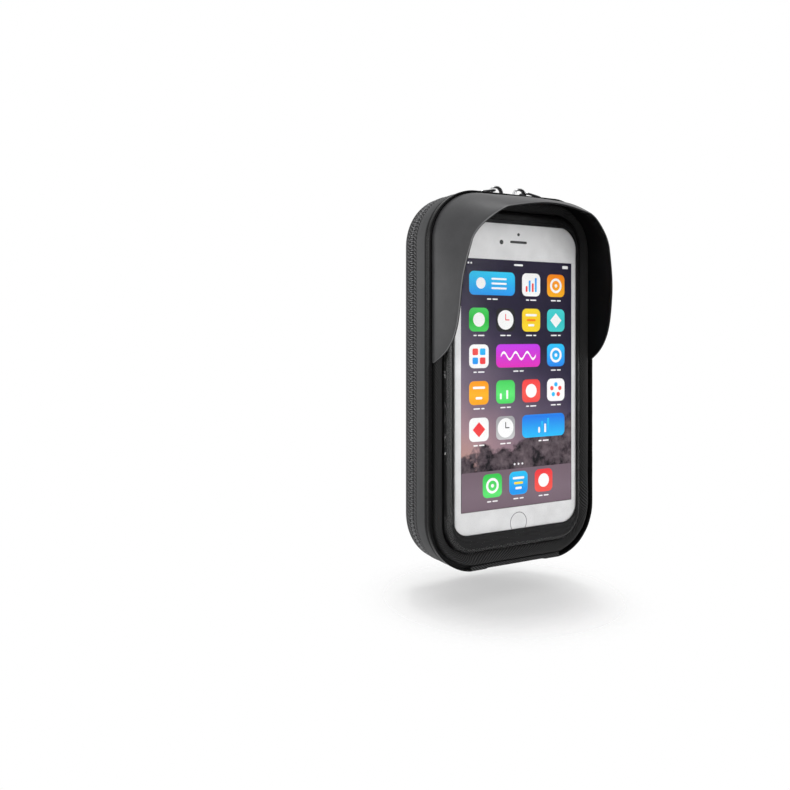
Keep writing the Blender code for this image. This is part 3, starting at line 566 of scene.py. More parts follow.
def seat_hinge(rows):
    """Lift the rings' points that would reach into the hinge cloth under the bag."""
    fade = 1.6 * MM
    edge = HINGE_WIDTH / 2 + 0.4 * MM
    for row in rows:
        for point in row:
            share = smooth((edge + fade - abs(point.x)) / fade)
            if point.z < HINGE_SEAT and share > 0:
                point.z += (HINGE_SEAT - point.z) * share
    return rows


def arc(centre, radius, start, end, steps):
    """Points of an arc in a profile of insets and depths."""
    places = []
    for step in range(steps + 1):
        angle = math.radians(start + (end - start) * step / steps)
        places.append((centre[0] + radius * math.cos(angle), centre[1] + radius * math.sin(angle)))
    return places


def outline_station(run):
    """Find the bag's outline and its outward direction at a run from the top's middle."""
    side = -1.0 if run < 0 else 1.0
    run = abs(run)
    if run <= TOP_RUN:
        return side * run, HALF_HEIGHT, 0.0, 1.0
    run -= TOP_RUN
    if run <= CORNER_RUN:
        turn = run / CORNER_RADIUS
        return (side * (TOP_RUN + CORNER_RADIUS * math.sin(turn)),
                HALF_HEIGHT - CORNER_RADIUS * (1 - math.cos(turn)),
                side * math.sin(turn), math.cos(turn))
    run -= CORNER_RUN
    if run <= SIDE_RUN:
        return side * HALF_WIDTH, HALF_HEIGHT - CORNER_RADIUS - run, side, 0.0
    run -= SIDE_RUN
    if run <= CORNER_RUN:
        turn = run / CORNER_RADIUS
        return (side * (TOP_RUN + CORNER_RADIUS * math.cos(turn)),
                CORNER_RADIUS * (1 - math.sin(turn)) - HALF_HEIGHT,
                side * math.cos(turn), -math.sin(turn))
    run -= CORNER_RUN
    return side * (TOP_RUN - run), -HALF_HEIGHT, 0.0, -1.0


def at_station(station, inset, depth):
    """Place a point at an inset and a depth beside one station of the outline."""
    x, height, out_x, out_z = station
    return world(x - out_x * inset, depth, height - out_z * inset)


def sweep(name, profile_at, limit, steps, materials, smooth_degrees=50.0):
    """Sweep a closed profile along the outline from one limit round the top to the other."""
    runs = [limit * (2 * index / steps - 1) for index in range(steps + 1)]
    stations = [outline_station(run) for run in runs]
    profiles = [profile_at(run) for run in runs]
    rows = [[at_station(station, *profile[index]) for station, profile in zip(stations, profiles)]
            for index in range(len(profiles[0]))]
    return closed_piece(name, rows, materials, smooth_degrees=smooth_degrees, close_around=False)


# Lid


def lid_wall():
    """Moulded side wall of the lid, slightly crowned, with the flange under the window."""
    edge = 0.9 * MM
    crown = 0.12 * MM
    front = arc((WALL_INSET + edge, WALL_FRONT + edge), edge, 270.0, 180.0, 5)
    rear = arc((WALL_INSET + edge, WALL_REAR - edge), edge, 180.0, 90.0, 5)
    middle = [(WALL_INSET - crown * math.sin(math.pi * share / 8),
               WALL_FRONT + edge + (WALL_REAR - WALL_FRONT - 2 * edge) * share / 8)
              for share in range(1, 8)]
    bound = (WALL_INSET - 0.02 * MM, WALL_FRONT + edge + 0.55 * MM)
    rows = [inset_ring(inset, depth) for inset, depth in front + [bound] + middle + rear]
    rows += [inset_ring(WALL_INNER, WALL_REAR), inset_ring(WALL_INNER, FLANGE_REAR)]
    low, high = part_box("phone_front")
    opening = (max(high.x, -low.x) + 0.45 * MM, HALF_HEIGHT - low.z + 0.45 * MM, PHONE_RADIUS)
    rows += [ring(*opening, FLANGE_REAR), ring(*opening, FLANGE_FRONT)]
    rows += [inset_ring(WALL_INNER, FLANGE_FRONT), inset_ring(WALL_INNER, WALL_FRONT)]
    # The rounded front edge and the front face take the darker colour: painted shade where the wall turns
    # in to meet the bead
    strips = [1] * len(front) + [0] * (len(rows) - len(front) - 1) + [1]
    piece = closed_piece("lid_side_wall", seat_hinge(rows), [SHELL_CLOTH, WALL_EDGE_SHADE], strip_material=strips)
    settle(piece, "lid", "shell", "lid_shell")


def piping():
    """Vinyl bead round the lid's front rim, with its sewn-in flat behind it."""
    radius = PIPING_WIDTH / 2
    flat = radius * 0.72

    def profile_at(run):
        puffed = radius + 0.05 * MM * ripple((run, 0.0, 0.0), 5.0 * MM)
        nose = arc((radius, radius), puffed, 180.0, 360.0, 8)
        bead = [(radius + puffed, PIPING_DEPTH * share) for share in (0.35, 0.62)]
        other = [(radius - puffed, PIPING_DEPTH * share) for share in (0.62, 0.35)]
        foot = [(radius + flat, PIPING_DEPTH * 0.78), (radius + flat, PIPING_DEPTH),
                (radius - flat, PIPING_DEPTH), (radius - flat, PIPING_DEPTH * 0.78)]
        return nose + bead + foot + other

    piece = sweep("lid_piping_bead", profile_at, CHAIN_END, 420, [PIPING_VINYL])
    settle(piece, "lid", "piping", "lid_piping")


def band_row(share, depth):
    """Ring of the frame band at a share of its width, from the outer edge to the inner one."""
    inset = BAND_OUTER + (BAND_INNER - BAND_OUTER) * share
    outer_radius = CORNER_RADIUS - BAND_OUTER
    radius = outer_radius + (RECESS_RADIUS - outer_radius) * smooth(share)
    return inset_ring(inset, depth, radius)


def frame_band():
    """Padded cloth frame between the bead and the window, with soft puckers."""
    crest = 0.1 * MM
    inner_edge = 2.2 * MM
    shape = ((0.0, 1.3 * MM), (0.02, 0.65 * MM), (0.07, 0.25 * MM), (0.16, crest), (0.3, crest),
             (0.45, 0.28 * MM), (0.6, 0.58 * MM), (0.75, 1.0 * MM), (0.88, 1.5 * MM),
             (0.96, 1.85 * MM), (1.0, inner_edge))
    rows = [band_row(0.0, BAND_REAR)]
    rows += [band_row(share, depth) for share, depth in shape]
    rows += [band_row(1.0, 3.3 * MM), band_row(1.0, BAND_REAR)]
    for row in rows[2:-2]:
        for point in row:
            point.y += 0.16 * MM * ripple(point, 9.0 * MM) + 0.07 * MM * ripple(point, 3.0 * MM, 4.0)
    piece = closed_piece("lid_frame_cloth", rows, [BAND_CLOTH])
    settle(piece, "lid", "frame_fabric", "lid_frame_band")


def crown_rows(offset, steps):
    """Rounded wall from the recess up to the window's plane, set back by an offset."""
    run = CROWN_RUN - offset
    rise = CROWN_HEIGHT - offset
    start = CROWN_HEIGHT + FILM_TOP
    rows = []
    for step in range(steps + 1):
        turn = math.pi / 2 * step / steps
        inset = FILM_INSET + offset + run * (1 - math.cos(turn))
        rows.append(inset_ring(inset, start - rise * math.sin(turn),
                               RECESS_RADIUS - (inset - BAND_INNER)))
    return rows


def window_ring(depth, grow=0.0):
    """Ring of the window's edge over the phone, grown outwards by a given width."""
    low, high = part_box("phone_front")
    half_width = (high.x - low.x) / 2 + WINDOW_SIDE_MARGIN + grow
    half_height = (high.z - low.z) / 2 - WINDOW_END_OVERLAP + grow
    return ring(half_width, half_height, WINDOW_RADIUS + grow, depth, WINDOW_CENTRE)


def bezel():
    """Smooth black surround of the window with its fine weld lines."""
    offset = BEZEL_INSET - FILM_INSET
    lip = BEZEL_TOP
    crown = crown_rows(offset, 9)
    flat_start = crown[-1]
    edge = window_ring(lip)
    rows = [inset_ring(BEZEL_INSET, BEZEL_FOOT, RECESS_RADIUS - (BEZEL_INSET - BAND_INNER))] + crown
    for share, dip in ((0.3, 0.0), (0.36, 0.05), (0.4, 0.24), (0.45, 0.28), (0.5, 0.05), (0.55, 0.0),
                       (0.72, 0.0), (0.76, 0.14), (0.81, 0.14), (0.85, 0.0)):
        rows.append(between(flat_start, edge, share, lip + dip * MM))
    rows += [window_ring(lip, 0.45 * MM), window_ring(lip + 0.12 * MM, 0.15 * MM),
             window_ring(lip + 0.4 * MM), window_ring(lip + BEZEL_THICKNESS)]
    inner = crown_rows(offset + BEZEL_THICKNESS, 5)
    rows += list(reversed(inner))
    foot = BEZEL_INSET + BEZEL_THICKNESS
    rows.append(inset_ring(foot, BEZEL_FOOT, RECESS_RADIUS - (foot - BAND_INNER)))
    piece = closed_piece("window_surround", rows, [BEZEL_PLASTIC], smooth_degrees=65.0)
    settle(piece, "lid", "bezel", "window_bezel")


def crease_height(point, creases):
    """How far the film stands up at a point because of the creases near it."""
    height = 0.0
    place = Vector((point.x, point.z))
    for start, end, width, rise in creases:
        start, end = Vector(start), Vector(end)
        along = end - start
        share = min(1.0, max(0.0, (place - start).dot(along) / along.length_squared))
        away = (place - start - along * share).length
        height += rise * math.exp(-(away / width) ** 2) * math.sin(math.pi * min(0.98, max(0.02, share)))
    return height


# Middle height and half height of the stretch of the film's left foot that glints
GLINT_HEIGHT = 82.0 * MM
GLINT_REACH = 28.0 * MM


def film():
    """Clear film over the window, domed at its edge, with the creases of its lower left corner."""
    side = -HALF_WIDTH

    # Creases: where each starts and ends, its width and its rise
    creases = (
        ((side + 8.6 * MM, 36.0 * MM), (side + 13.5 * MM, 13.5 * MM), 0.8 * MM, 0.8 * MM),
        ((side + 9.6 * MM, 44.0 * MM), (side + 12.6 * MM, 21.0 * MM), 0.7 * MM, 0.65 * MM),
        ((side + 10.0 * MM, 58.0 * MM), (side + 9.4 * MM, 40.0 * MM), 0.6 * MM, 0.3 * MM),
        ((-side - 9.0 * MM, 30.0 * MM), (-side - 13.5 * MM, 14.0 * MM), 0.7 * MM, 0.35 * MM),
    )
    crown = crown_rows(0.0, 10)
    top = crown[-1]
    foot = [inset_ring(WALL_INNER + 0.3 * MM, FILM_FOOT - FILM_THICKNESS),
            inset_ring(BAND_INNER, FILM_FOOT - FILM_THICKNESS, RECESS_RADIUS),
            inset_ring(FILM_INSET, FILM_FOOT - 2 * FILM_THICKNESS, RECESS_RADIUS - 0.3 * MM)]
    rows = foot + crown
    glint_strip = len(foot) + 2
    spine = HALF_HEIGHT - HALF_WIDTH
    for share in (0.06, 0.14, 0.24, 0.36, 0.5, 0.64, 0.78, 0.9, 0.985):
        row = []
        for point in top:
            height = max(-spine, min(spine, point.z - MIDDLE_Z))
            centre = world(0.0, FILM_TOP, height)
            row.append(point.lerp(centre, share))
        rows.append(row)
    for row in rows[len(foot) + 1:]:
        for point in row:
            point.y -= 0.1 * MM * ripple(point, 22.0 * MM)
    for point, target in zip(rows[glint_strip + 1], top):
        inward = Vector((target.x - point.x, 0.0, target.z - point.z)).normalized()
        point += inward * (0.22 * MM + 0.14 * MM * ripple(point, 4.0 * MM, 9.0))
    for row in rows[len(foot):]:
        for point in row:
            point.y -= crease_height(point, creases)
    bm = bmesh.new()
    crown_strips = len(foot) + len(crown) - 1
    strips = [1] * crown_strips + [0] * (len(rows) - 1 - crown_strips)
    strips[glint_strip] = 2
    verts = add_skin(bm, rows, strip_material=strips)
    cap(bm, verts[-1])
    for face in bm.faces:
        middle = face.calc_center_median()
        if face.material_index == 2 and (middle.x > 0 or abs(middle.z - GLINT_HEIGHT) > GLINT_REACH):
            face.material_index = 1
    piece = mesh_piece("window_clear_film", bm, [FILM, FILM_CROWN, FILM_GLINT])
    thicken(piece, FILM_THICKNESS * 0.6, -1.0)
    settle(piece, "lid", "film", "window_film")


def visor_edge(run):
    """How far the visor's free edge stands in front of the rim at a run, and how far it leans in."""
    height = outline_station(run)[1]
    curl = max(0.0, 1 - math.exp(-(height - VISOR_END_HEIGHT) / VISOR_CURL))
    arch = smooth(1 - abs(run) / (TOP_RUN + CORNER_RUN + VISOR_ARCH_SIDE))
    corner_share = min(2.0, abs(run) / (TOP_RUN + CORNER_RUN / 2))
    corner = math.sin(math.pi / 2 * corner_share) ** 2
    reach = REACH_SIDE + (REACH_TOP - REACH_SIDE) * arch
    lean = LEAN_SIDE + (LEAN_TOP - LEAN_SIDE) * arch + LEAN_CORNER * corner
    return reach * curl, lean * curl


def visor():
    """Sun visor: grained outside, dark lining inside and a rounded cut edge whose outer half is coloured
    lighter, a painted highlight.
    """
    end_run = TOP_RUN + CORNER_RUN + HALF_HEIGHT - CORNER_RADIUS - VISOR_END_HEIGHT
    half = VISOR_THICKNESS / 2
    columns = 150
    along_steps = 14
    edge_steps = 6
    outer = [(step / along_steps, -1.0) for step in range(along_steps + 1)]
    edge = [math.pi * step / edge_steps for step in range(1, edge_steps)]
    inner = [(1.0 - step / along_steps, 1.0) for step in range(along_steps + 1)]
    rows = [[] for _ in range(len(outer) + len(edge) + len(inner) + 2)]
    for column in range(-columns, columns + 1):
        share = column / columns
        run = end_run * math.copysign(math.sin(abs(share) * math.pi / 2), share)
        station = outline_station(run)
        reach, lean = visor_edge(run)
        lean += 0.18 * MM * ripple((run, 0.0, 0.0), 30.0 * MM, 2.0)
        slope = math.atan2(LEAN_POWER * lean, max(reach, MM))

        def sheet_place(along, side):
            tilt = slope * along ** (LEAN_POWER - 1)
            return (VISOR_MIDDLE + lean * along ** LEAN_POWER + side * half * math.cos(tilt),
                    -reach * along + side * half * math.sin(tilt))

        places = [(VISOR_MIDDLE - half, PIPING_DEPTH)]
        places += [sheet_place(along, side) for along, side in outer]
        places += [(VISOR_MIDDLE + lean + half * (math.sin(turn) * math.sin(slope)
                                                  - math.cos(turn) * math.cos(slope)),
                    -reach - half * (math.sin(turn) * math.cos(slope)
                                     + math.cos(turn) * math.sin(slope))) for turn in edge]
        places += [sheet_place(along, side) for along, side in inner]
        places.append((VISOR_MIDDLE + half, PIPING_DEPTH))
        for row, place in zip(rows, places):
            row.append(at_station(station, *place))
    # The outer half of the free edge's rounding takes the lighter edge colour, a painted highlight
    strips = [0] * len(outer) + [2] * 2 + [1] * (edge_steps - 2 + len(inner) + 1)
    piece = closed_piece("sun_visor", rows, [VISOR_CLOTH, VISOR_LINING, VISOR_EDGE_HIGHLIGHT],
                         strip_material=strips, smooth_degrees=60.0, close_around=False)
    settle(piece, "lid", "visor", "visor")


# Zip


def tape(name, front, rear, body, node):
    """Woven half tape of the zip, a little bowed between its sewn edges."""
    bow = 0.1 * MM

    def profile_at(run):
        ruffle = 0.05 * MM * ripple((run, 0.0, 0.0), 7.0 * MM, front * 1000)
        outer = [(TAPE_INSET - bow * math.sin(math.pi * share / 6) + ruffle,
                  front + (rear - front) * share / 6) for share in range(7)]
        return outer + [(TAPE_INSET + TAPE_THICKNESS, rear), (TAPE_INSET + TAPE_THICKNESS, front)]

    piece = sweep(name, profile_at, CHAIN_END, 300, [TAPE_CLOTH])
    settle(piece, body, "zip_tape", node)


TOOTH_PITCH = 2.1 * MM
TOOTH_HALF_WIDTH = 0.42 * MM
TOOTH_OVERLAP = 0.75 * MM
TOOTH_INSET = 0.85 * MM
TOOTH_HALF_HEIGHT = 0.62 * MM
TOOTH_SIDES = 10
COIL_GAP = 1.5 * MM

# Cross sections of a tooth: place between root and tip, and share of its width
TOOTH_RINGS = ((0.0, 0.55), (0.04, 0.85), (0.2, 0.95), (0.55, 0.85), (0.75, 1.05), (0.9, 1.12),
               (0.97, 0.85), (1.0, 0.45))


def add_tooth(bm, run, root, tip):
    """Add one coil tooth: a rounded bar across the chain with a broader head."""
    station = outline_station(run)
    along = Vector((station[3], 0.0, -station[2]))
    out = Vector((station[2], 0.0, station[3]))
    rows = []
    for share, size in TOOTH_RINGS:
        centre = at_station(station, TOOTH_INSET, root + (tip - root) * share)
        rows.append([centre + along * (TOOTH_HALF_WIDTH * size * math.cos(angle))
                     + out * (TOOTH_HALF_HEIGHT * min(1.0, size) * math.sin(angle))
                     for angle in turns(TOOTH_SIDES)])
    add_solid(bm, rows)


def coil(name, root, direction, shift, body, node):
    """Half of the zip's coil, whose heads lie between the other half's heads."""
    tip = PARTING + direction * TOOTH_OVERLAP
    limit = HALF_OUTLINE - HINGE_WIDTH / 2 - COIL_GAP
    count = int(limit / TOOTH_PITCH)
    bm = bmesh.new()
    for index in range(-count, count + 1):
        run = (index + shift) * TOOTH_PITCH
        if abs(run) <= limit:
            add_tooth(bm, run, root, tip)
    settle(mesh_piece(name, bm, [COIL_NYLON]), body, "zip_coil", node)


# Hinge cloth


def hinge_cloth():
    """Cloth hinge under the bag, one strip from the front lip to the tub's slope."""
    half = HINGE_CLOTH / 2
    slope = math.hypot(1.0, TUB_TAPER)
    lift = TAPE_INSET - (half + HINGE_GAP) * slope
    knee = TUB_FRONT + TUB_COLLAR + (half - lift) / TUB_TAPER
    fold = 0.5 * MM
    path = [(half, 2.45 * MM), (half, 1.9 * MM), (half + 0.02 * MM, 1.2 * MM)]
    path += [(half + fold - fold * math.cos(math.radians(angle)),
              half + fold - fold * math.sin(math.radians(angle))) for angle in (20, 45, 70, 90)]
    flat_start = path[-1][0]
    flat_steps = 40
    path += [(flat_start + (knee - flat_start) * step / flat_steps, half)
             for step in range(1, flat_steps + 1)]
    tail_steps = 12
    path += [(knee + HINGE_TAIL / slope * step / tail_steps,
              half + HINGE_TAIL * TUB_TAPER / slope * step / tail_steps)
             for step in range(1, tail_steps + 1)]
    columns = 90
    plain_half = 18.5 * MM
    rows = []
    for depth, height in path:
        row = []
        for column in range(columns + 1):
            x = HINGE_WIDTH * (column / columns - 0.5)
            raised = smooth((plain_half - abs(x)) / (2.0 * MM))
            pucker = 0.12 * MM * ripple((x, depth, 0.0), 6.0 * MM, 7.0)
            lip = 0.25 * MM * (1 - raised) * smooth((2.6 * MM - height) / MM) if depth < MM else 0.0
            point = world(x, depth - lip, height - HALF_HEIGHT)
            if height < 1.6 * MM and depth > half:
                point.z += 0.3 * MM * raised + 0.1 * MM + pucker * 0.5
            elif depth <= half + 0.1 * MM:
                point.y += pucker
            row.append(point)
        rows.append(row)
    bm = bmesh.new()
    add_skin(bm, rows, close_around=False)
    piece = mesh_piece("hinge_cloth", bm, [HINGE_FABRIC])
    thicken(piece, HINGE_CLOTH - 0.15 * MM)
    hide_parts("hinge_cloth_lid", "hinge_cloth_tub")
    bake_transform(piece)
    cut_length = sum(math.dist(first, second) for first, second in zip(path, path[1:]))


# Tub


def tub():
    """Moulded tub behind the zip, with a brushed lining inside."""
    collar_rear = TUB_FRONT + TUB_COLLAR
    taper_rear = collar_rear + TUB_TAPER_DEPTH
    taper_inset = TAPE_INSET + TUB_TAPER * TUB_TAPER_DEPTH
    places = [(TAPE_INSET + 0.35 * MM, TUB_FRONT), (TAPE_INSET + 0.08 * MM, TUB_FRONT + 0.15 * MM),
              (TAPE_INSET, TUB_FRONT + 0.4 * MM), (TAPE_INSET, collar_rear - 0.5 * MM),
              (TAPE_INSET + 0.1 * MM, collar_rear)]
    places += [(TAPE_INSET + TUB_TAPER * TUB_TAPER_DEPTH * step / 10,
                collar_rear + TUB_TAPER_DEPTH * step / 10) for step in range(1, 11)]
    drop = BAG_DEPTH - taper_rear
    start = math.atan(TUB_TAPER)
    steps = 14
    for step in range(1, steps + 1):
        turn = start + (math.pi / 2 - start) * step / steps
        places.append((taper_inset + TUB_EDGE_RADIUS * (math.cos(start) - math.cos(turn)) / math.cos(start),
                       taper_rear + drop * (math.sin(turn) - math.sin(start)) / (1 - math.sin(start))))
    rows = seat_hinge([inset_ring(inset, depth) for inset, depth in places])
    inner_rows = [inset_ring(inset + TUB_WALL * 1.1, min(depth, BAG_DEPTH - TUB_WALL))
                  for inset, depth in reversed(places)]
    bm = bmesh.new()
    add_solid(bm, inner_rows + rows, [1] * len(inner_rows) + [0] * (len(rows) - 1), first=1)
    piece = mesh_piece("tub_body", bm, [TUB_CLOTH, LINING], smooth_degrees=40.0)
    settle(piece, "tub", "shell", "tub_shell")


# Phone


def flat_prism(bm, outline, front, rear, material=0):
    """Add a thin prism from an outline of x and height, between two depths."""
    rows = [[world(x, depth, height) for x, height in outline] for depth in (rear, front)]
    add_solid(bm, rows, [material], material, material)


def rounded_outline(x, height, width, tall, radius, steps=5):
    """Outline of a rounded rectangle about a centre."""
    points = []
    for side_x, side_z, start in QUARTERS:
        for step in range(steps + 1):
            angle = math.radians(start + 90.0 * step / steps)
            points.append((x + side_x * (width / 2 - radius) + radius * math.cos(angle),
                           height + side_z * (tall / 2 - radius) + radius * math.sin(angle)))
    return points


def disc_outline(x, height, radius, steps=24):
    """Outline of a disc."""
    return [(x + radius * math.cos(turn), height + radius * math.sin(turn)) for turn in turns(steps)]


def phone_front():
    """White phone front with a rounded glass edge, its screen opening, and what is set into it."""
    low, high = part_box("phone_front")
    centre_x = (low.x + high.x) / 2
    centre_z = (low.z + high.z) / 2 - MIDDLE_Z
    half_width = (high.x - low.x) / 2
    half_height = (high.z - low.z) / 2
    rear = high.y - FRONT_Y
    edge = 0.7 * MM
    centre = (centre_x, centre_z)

    def row(inset, depth):
        return ring(half_width - inset, half_height - inset, PHONE_RADIUS - inset, depth, centre)

    rows = [row(0.0, rear), row(0.0, PHONE_FRONT + edge * 0.75)]
    for step in range(1, 7):
        turn = math.pi / 2 * step / 6
        rows.append(row(edge * (1 - math.cos(turn)) * 1.3,
                        PHONE_FRONT + edge * 0.75 * (1 - math.sin(turn))))
    rows.append(row(1.6 * MM, PHONE_FRONT))
    screen_low, screen_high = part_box("phone_screen")
    screen_centre = ((screen_low.x + screen_high.x) / 2, (screen_low.z + screen_high.z) / 2 - MIDDLE_Z)
    gap = 0.1 * MM
    screen_half = ((screen_high.x - screen_low.x) / 2 + gap, (screen_high.z - screen_low.z) / 2 + gap)
    rows.append(ring(*screen_half, 0.3 * MM, PHONE_FRONT, screen_centre))
    rows.append(ring(*screen_half, 0.3 * MM, PHONE_FRONT + 0.5 * MM, screen_centre))
    bm = bmesh.new()
    add_solid(bm, rows)
    piece = mesh_piece("phone_white_front", bm, [PHONE_WHITE], smooth_degrees=35.0)
    settle(piece, "lid", "phone_front", "phone_front")

    proud = 0.03 * MM
    end_margin = 9.3 * MM
    slot_z = centre_z + half_height - end_margin
    bm = bmesh.new()
    for outline in (rounded_outline(centre_x, slot_z, 10.4 * MM, 1.25 * MM, 0.6 * MM),
                    disc_outline(centre_x, slot_z + 3.8 * MM, 0.8 * MM),
                    disc_outline(centre_x - 10.4 * MM, slot_z - 0.4 * MM, 1.15 * MM)):
        flat_prism(bm, outline, PHONE_FRONT - proud, PHONE_FRONT + proud)
    settle(mesh_piece("phone_openings", bm, [PHONE_DARK]), "lid", "phone_front")

    key_z = centre_z - half_height + end_margin
    key_radius = 5.0 * MM
    wire = 0.22 * MM
    rows = []
    for angle in turns(10):
        reach = key_radius + wire * math.cos(angle)
        rows.append([world(centre_x + reach * math.cos(turn),
                           PHONE_FRONT + 0.06 * MM - wire * 0.6 * math.sin(angle),
                           key_z + reach * math.sin(turn)) for turn in turns(64)])
    settle(closed_piece("phone_key_ring", rows, [KEY_RING]), "lid", "phone_body")


SCREEN_TILE = 11.4 * MM
SCREEN_RADIUS = 2.6 * MM
LABEL_WIDTH = 6.4 * MM
SCREEN_COLOURS = {
    "green": ((0.02, 0.48, 0.05), (0.12, 0.78, 0.18)),
    "blue": ((0.02, 0.2, 0.8), (0.03, 0.55, 0.95)),
    "sky": ((0.03, 0.6, 0.9), (0.02, 0.3, 0.85)),
    "white": ((0.9, 0.9, 0.9), (0.96, 0.96, 0.96)),
    "orange": ((0.9, 0.22, 0.01), (0.95, 0.45, 0.02)),
    "yellow": ((0.92, 0.62, 0.02), (0.95, 0.75, 0.05)),
    "red": ((0.82, 0.03, 0.05), (0.9, 0.1, 0.08)),
    "pink": ((0.75, 0.03, 0.45), (0.55, 0.05, 0.8)),
    "teal": ((0.04, 0.55, 0.58), (0.1, 0.72, 0.68)),
    "dark": ((0.012, 0.012, 0.014), (0.03, 0.03, 0.034)),
    "grey": ((0.35, 0.35, 0.36), (0.62, 0.62, 0.63)),
    "mauve": ((0.17, 0.12, 0.15), (0.2, 0.145, 0.18)),
}
COLOUR_NAMES = list(SCREEN_COLOURS)

# Tiles of the screen: column, row, width in columns, colour and motif
SCREEN_TILES = (
    (0.0, 0, 2, "sky", "sun"), (2.0, 0, 1, "white", "bars"), (3.0, 0, 1, "orange", "ring"),
    (0.0, 1, 1, "green", "disc"), (1.0, 1, 1, "dark", "dial"), (2.0, 1, 1, "yellow", "steps"),
    (3.0, 1, 1, "teal", "diamond"),
    (0.0, 2, 1, "white", "grid"), (1.0, 2, 2, "pink", "wave"), (3.0, 2, 1, "blue", "ring"),
    (0.0, 3, 1, "orange", "steps"), (1.0, 3, 1, "green", "bars"), (2.0, 3, 1, "red", "disc"),
    (3.0, 3, 1, "white", "dots"),
    (0.0, 4, 1, "white", "diamond"), (1.0, 4, 1, "grey", "dial"), (2.0, 4, 2, "blue", "bars"),
)
DOCK_TILES = ((0.5, "green", "ring"), (1.5, "sky", "steps"), (2.5, "red", "disc"))


def motif(bm, kind, x, height, size, ink, accent, front):
    """Add a plain generic motif on a tile."""
    thin = 0.035 * MM
    inks = (COLOUR_NAMES.index(ink), COLOUR_NAMES.index(accent))

    def prism(outline, level, tone):
        flat_prism(bm, outline, front - thin * level, front - thin * (level - 1), inks[tone])

    if kind == "disc":
        prism(disc_outline(x, height, size * 0.3), 1, 0)
    elif kind == "ring":
        prism(disc_outline(x, height, size * 0.33), 1, 0)
        prism(disc_outline(x, height, size * 0.22), 2, 1)
        prism(disc_outline(x, height, size * 0.08, 12), 3, 0)
    elif kind == "sun":
        prism(disc_outline(x - size * 0.6, height, size * 0.24), 1, 0)
        for step in range(3):
            prism(rounded_outline(x + size * 0.35, height + size * 0.2 * (1 - step), size * 0.8,
                                  size * 0.08, size * 0.035, 2), 1, 0)
    elif kind == "bars":
        for step, tall in enumerate((0.25, 0.5, 0.38, 0.62)):
            prism(rounded_outline(x + size * 0.17 * (step - 1.5), height - size * (0.31 - tall / 2),
                                  size * 0.1, size * tall, size * 0.03, 2), 1, step % 2)
    elif kind == "dial":
        prism(disc_outline(x, height, size * 0.42), 1, 0)
        prism(rounded_outline(x, height + size * 0.12, size * 0.04, size * 0.26, size * 0.01, 2), 2, 1)
        prism(rounded_outline(x + size * 0.1, height, size * 0.2, size * 0.045, size * 0.01, 2), 2, 1)
    elif kind == "steps":
        for step in range(3):
            prism(rounded_outline(x, height + size * 0.22 * (1 - step), size * (0.62 - 0.14 * step),
                                  size * 0.1, size * 0.04, 2), 1, step % 2)
    elif kind == "diamond":
        prism([(x + size * 0.32, height), (x, height + size * 0.32), (x - size * 0.32, height),
               (x, height - size * 0.32)], 1, 0)
    elif kind == "grid":
        for column in (-1, 1):
            for row in (-1, 1):
                prism(rounded_outline(x + size * 0.19 * column, height + size * 0.19 * row, size * 0.28,
                                      size * 0.28, size * 0.05, 2), 1, (column * row + 1) // 2)
    elif kind == "wave":
        upper = [(x + size * (step / 12 - 1.0) * 0.95, height + size * 0.16 * math.sin(step * math.pi / 4)
                  + size * 0.05) for step in range(25)]
        lower = [(place_x, place_z - size * 0.1) for place_x, place_z in reversed(upper)]
        prism(list(reversed(upper + lower)), 1, 0)
    elif kind == "dots":
        for step in range(5):
            turn = 2 * math.pi * step / 5 + 0.3
            prism(disc_outline(x + size * 0.24 * math.cos(turn), height + size * 0.24 * math.sin(turn),
                               size * 0.1, 12), 1, step % 2)


MOTIF_INKS = {
    "white": ("red", "blue"), "yellow": ("white", "orange"), "grey": ("white", "dark"),
    "dark": ("white", "red"), "orange": ("white", "orange"), "green": ("white", "green"),
    "blue": ("white", "sky"), "sky": ("white", "yellow"), "red": ("white", "pink"),
    "pink": ("white", "pink"), "teal": ("white", "dark"),
}


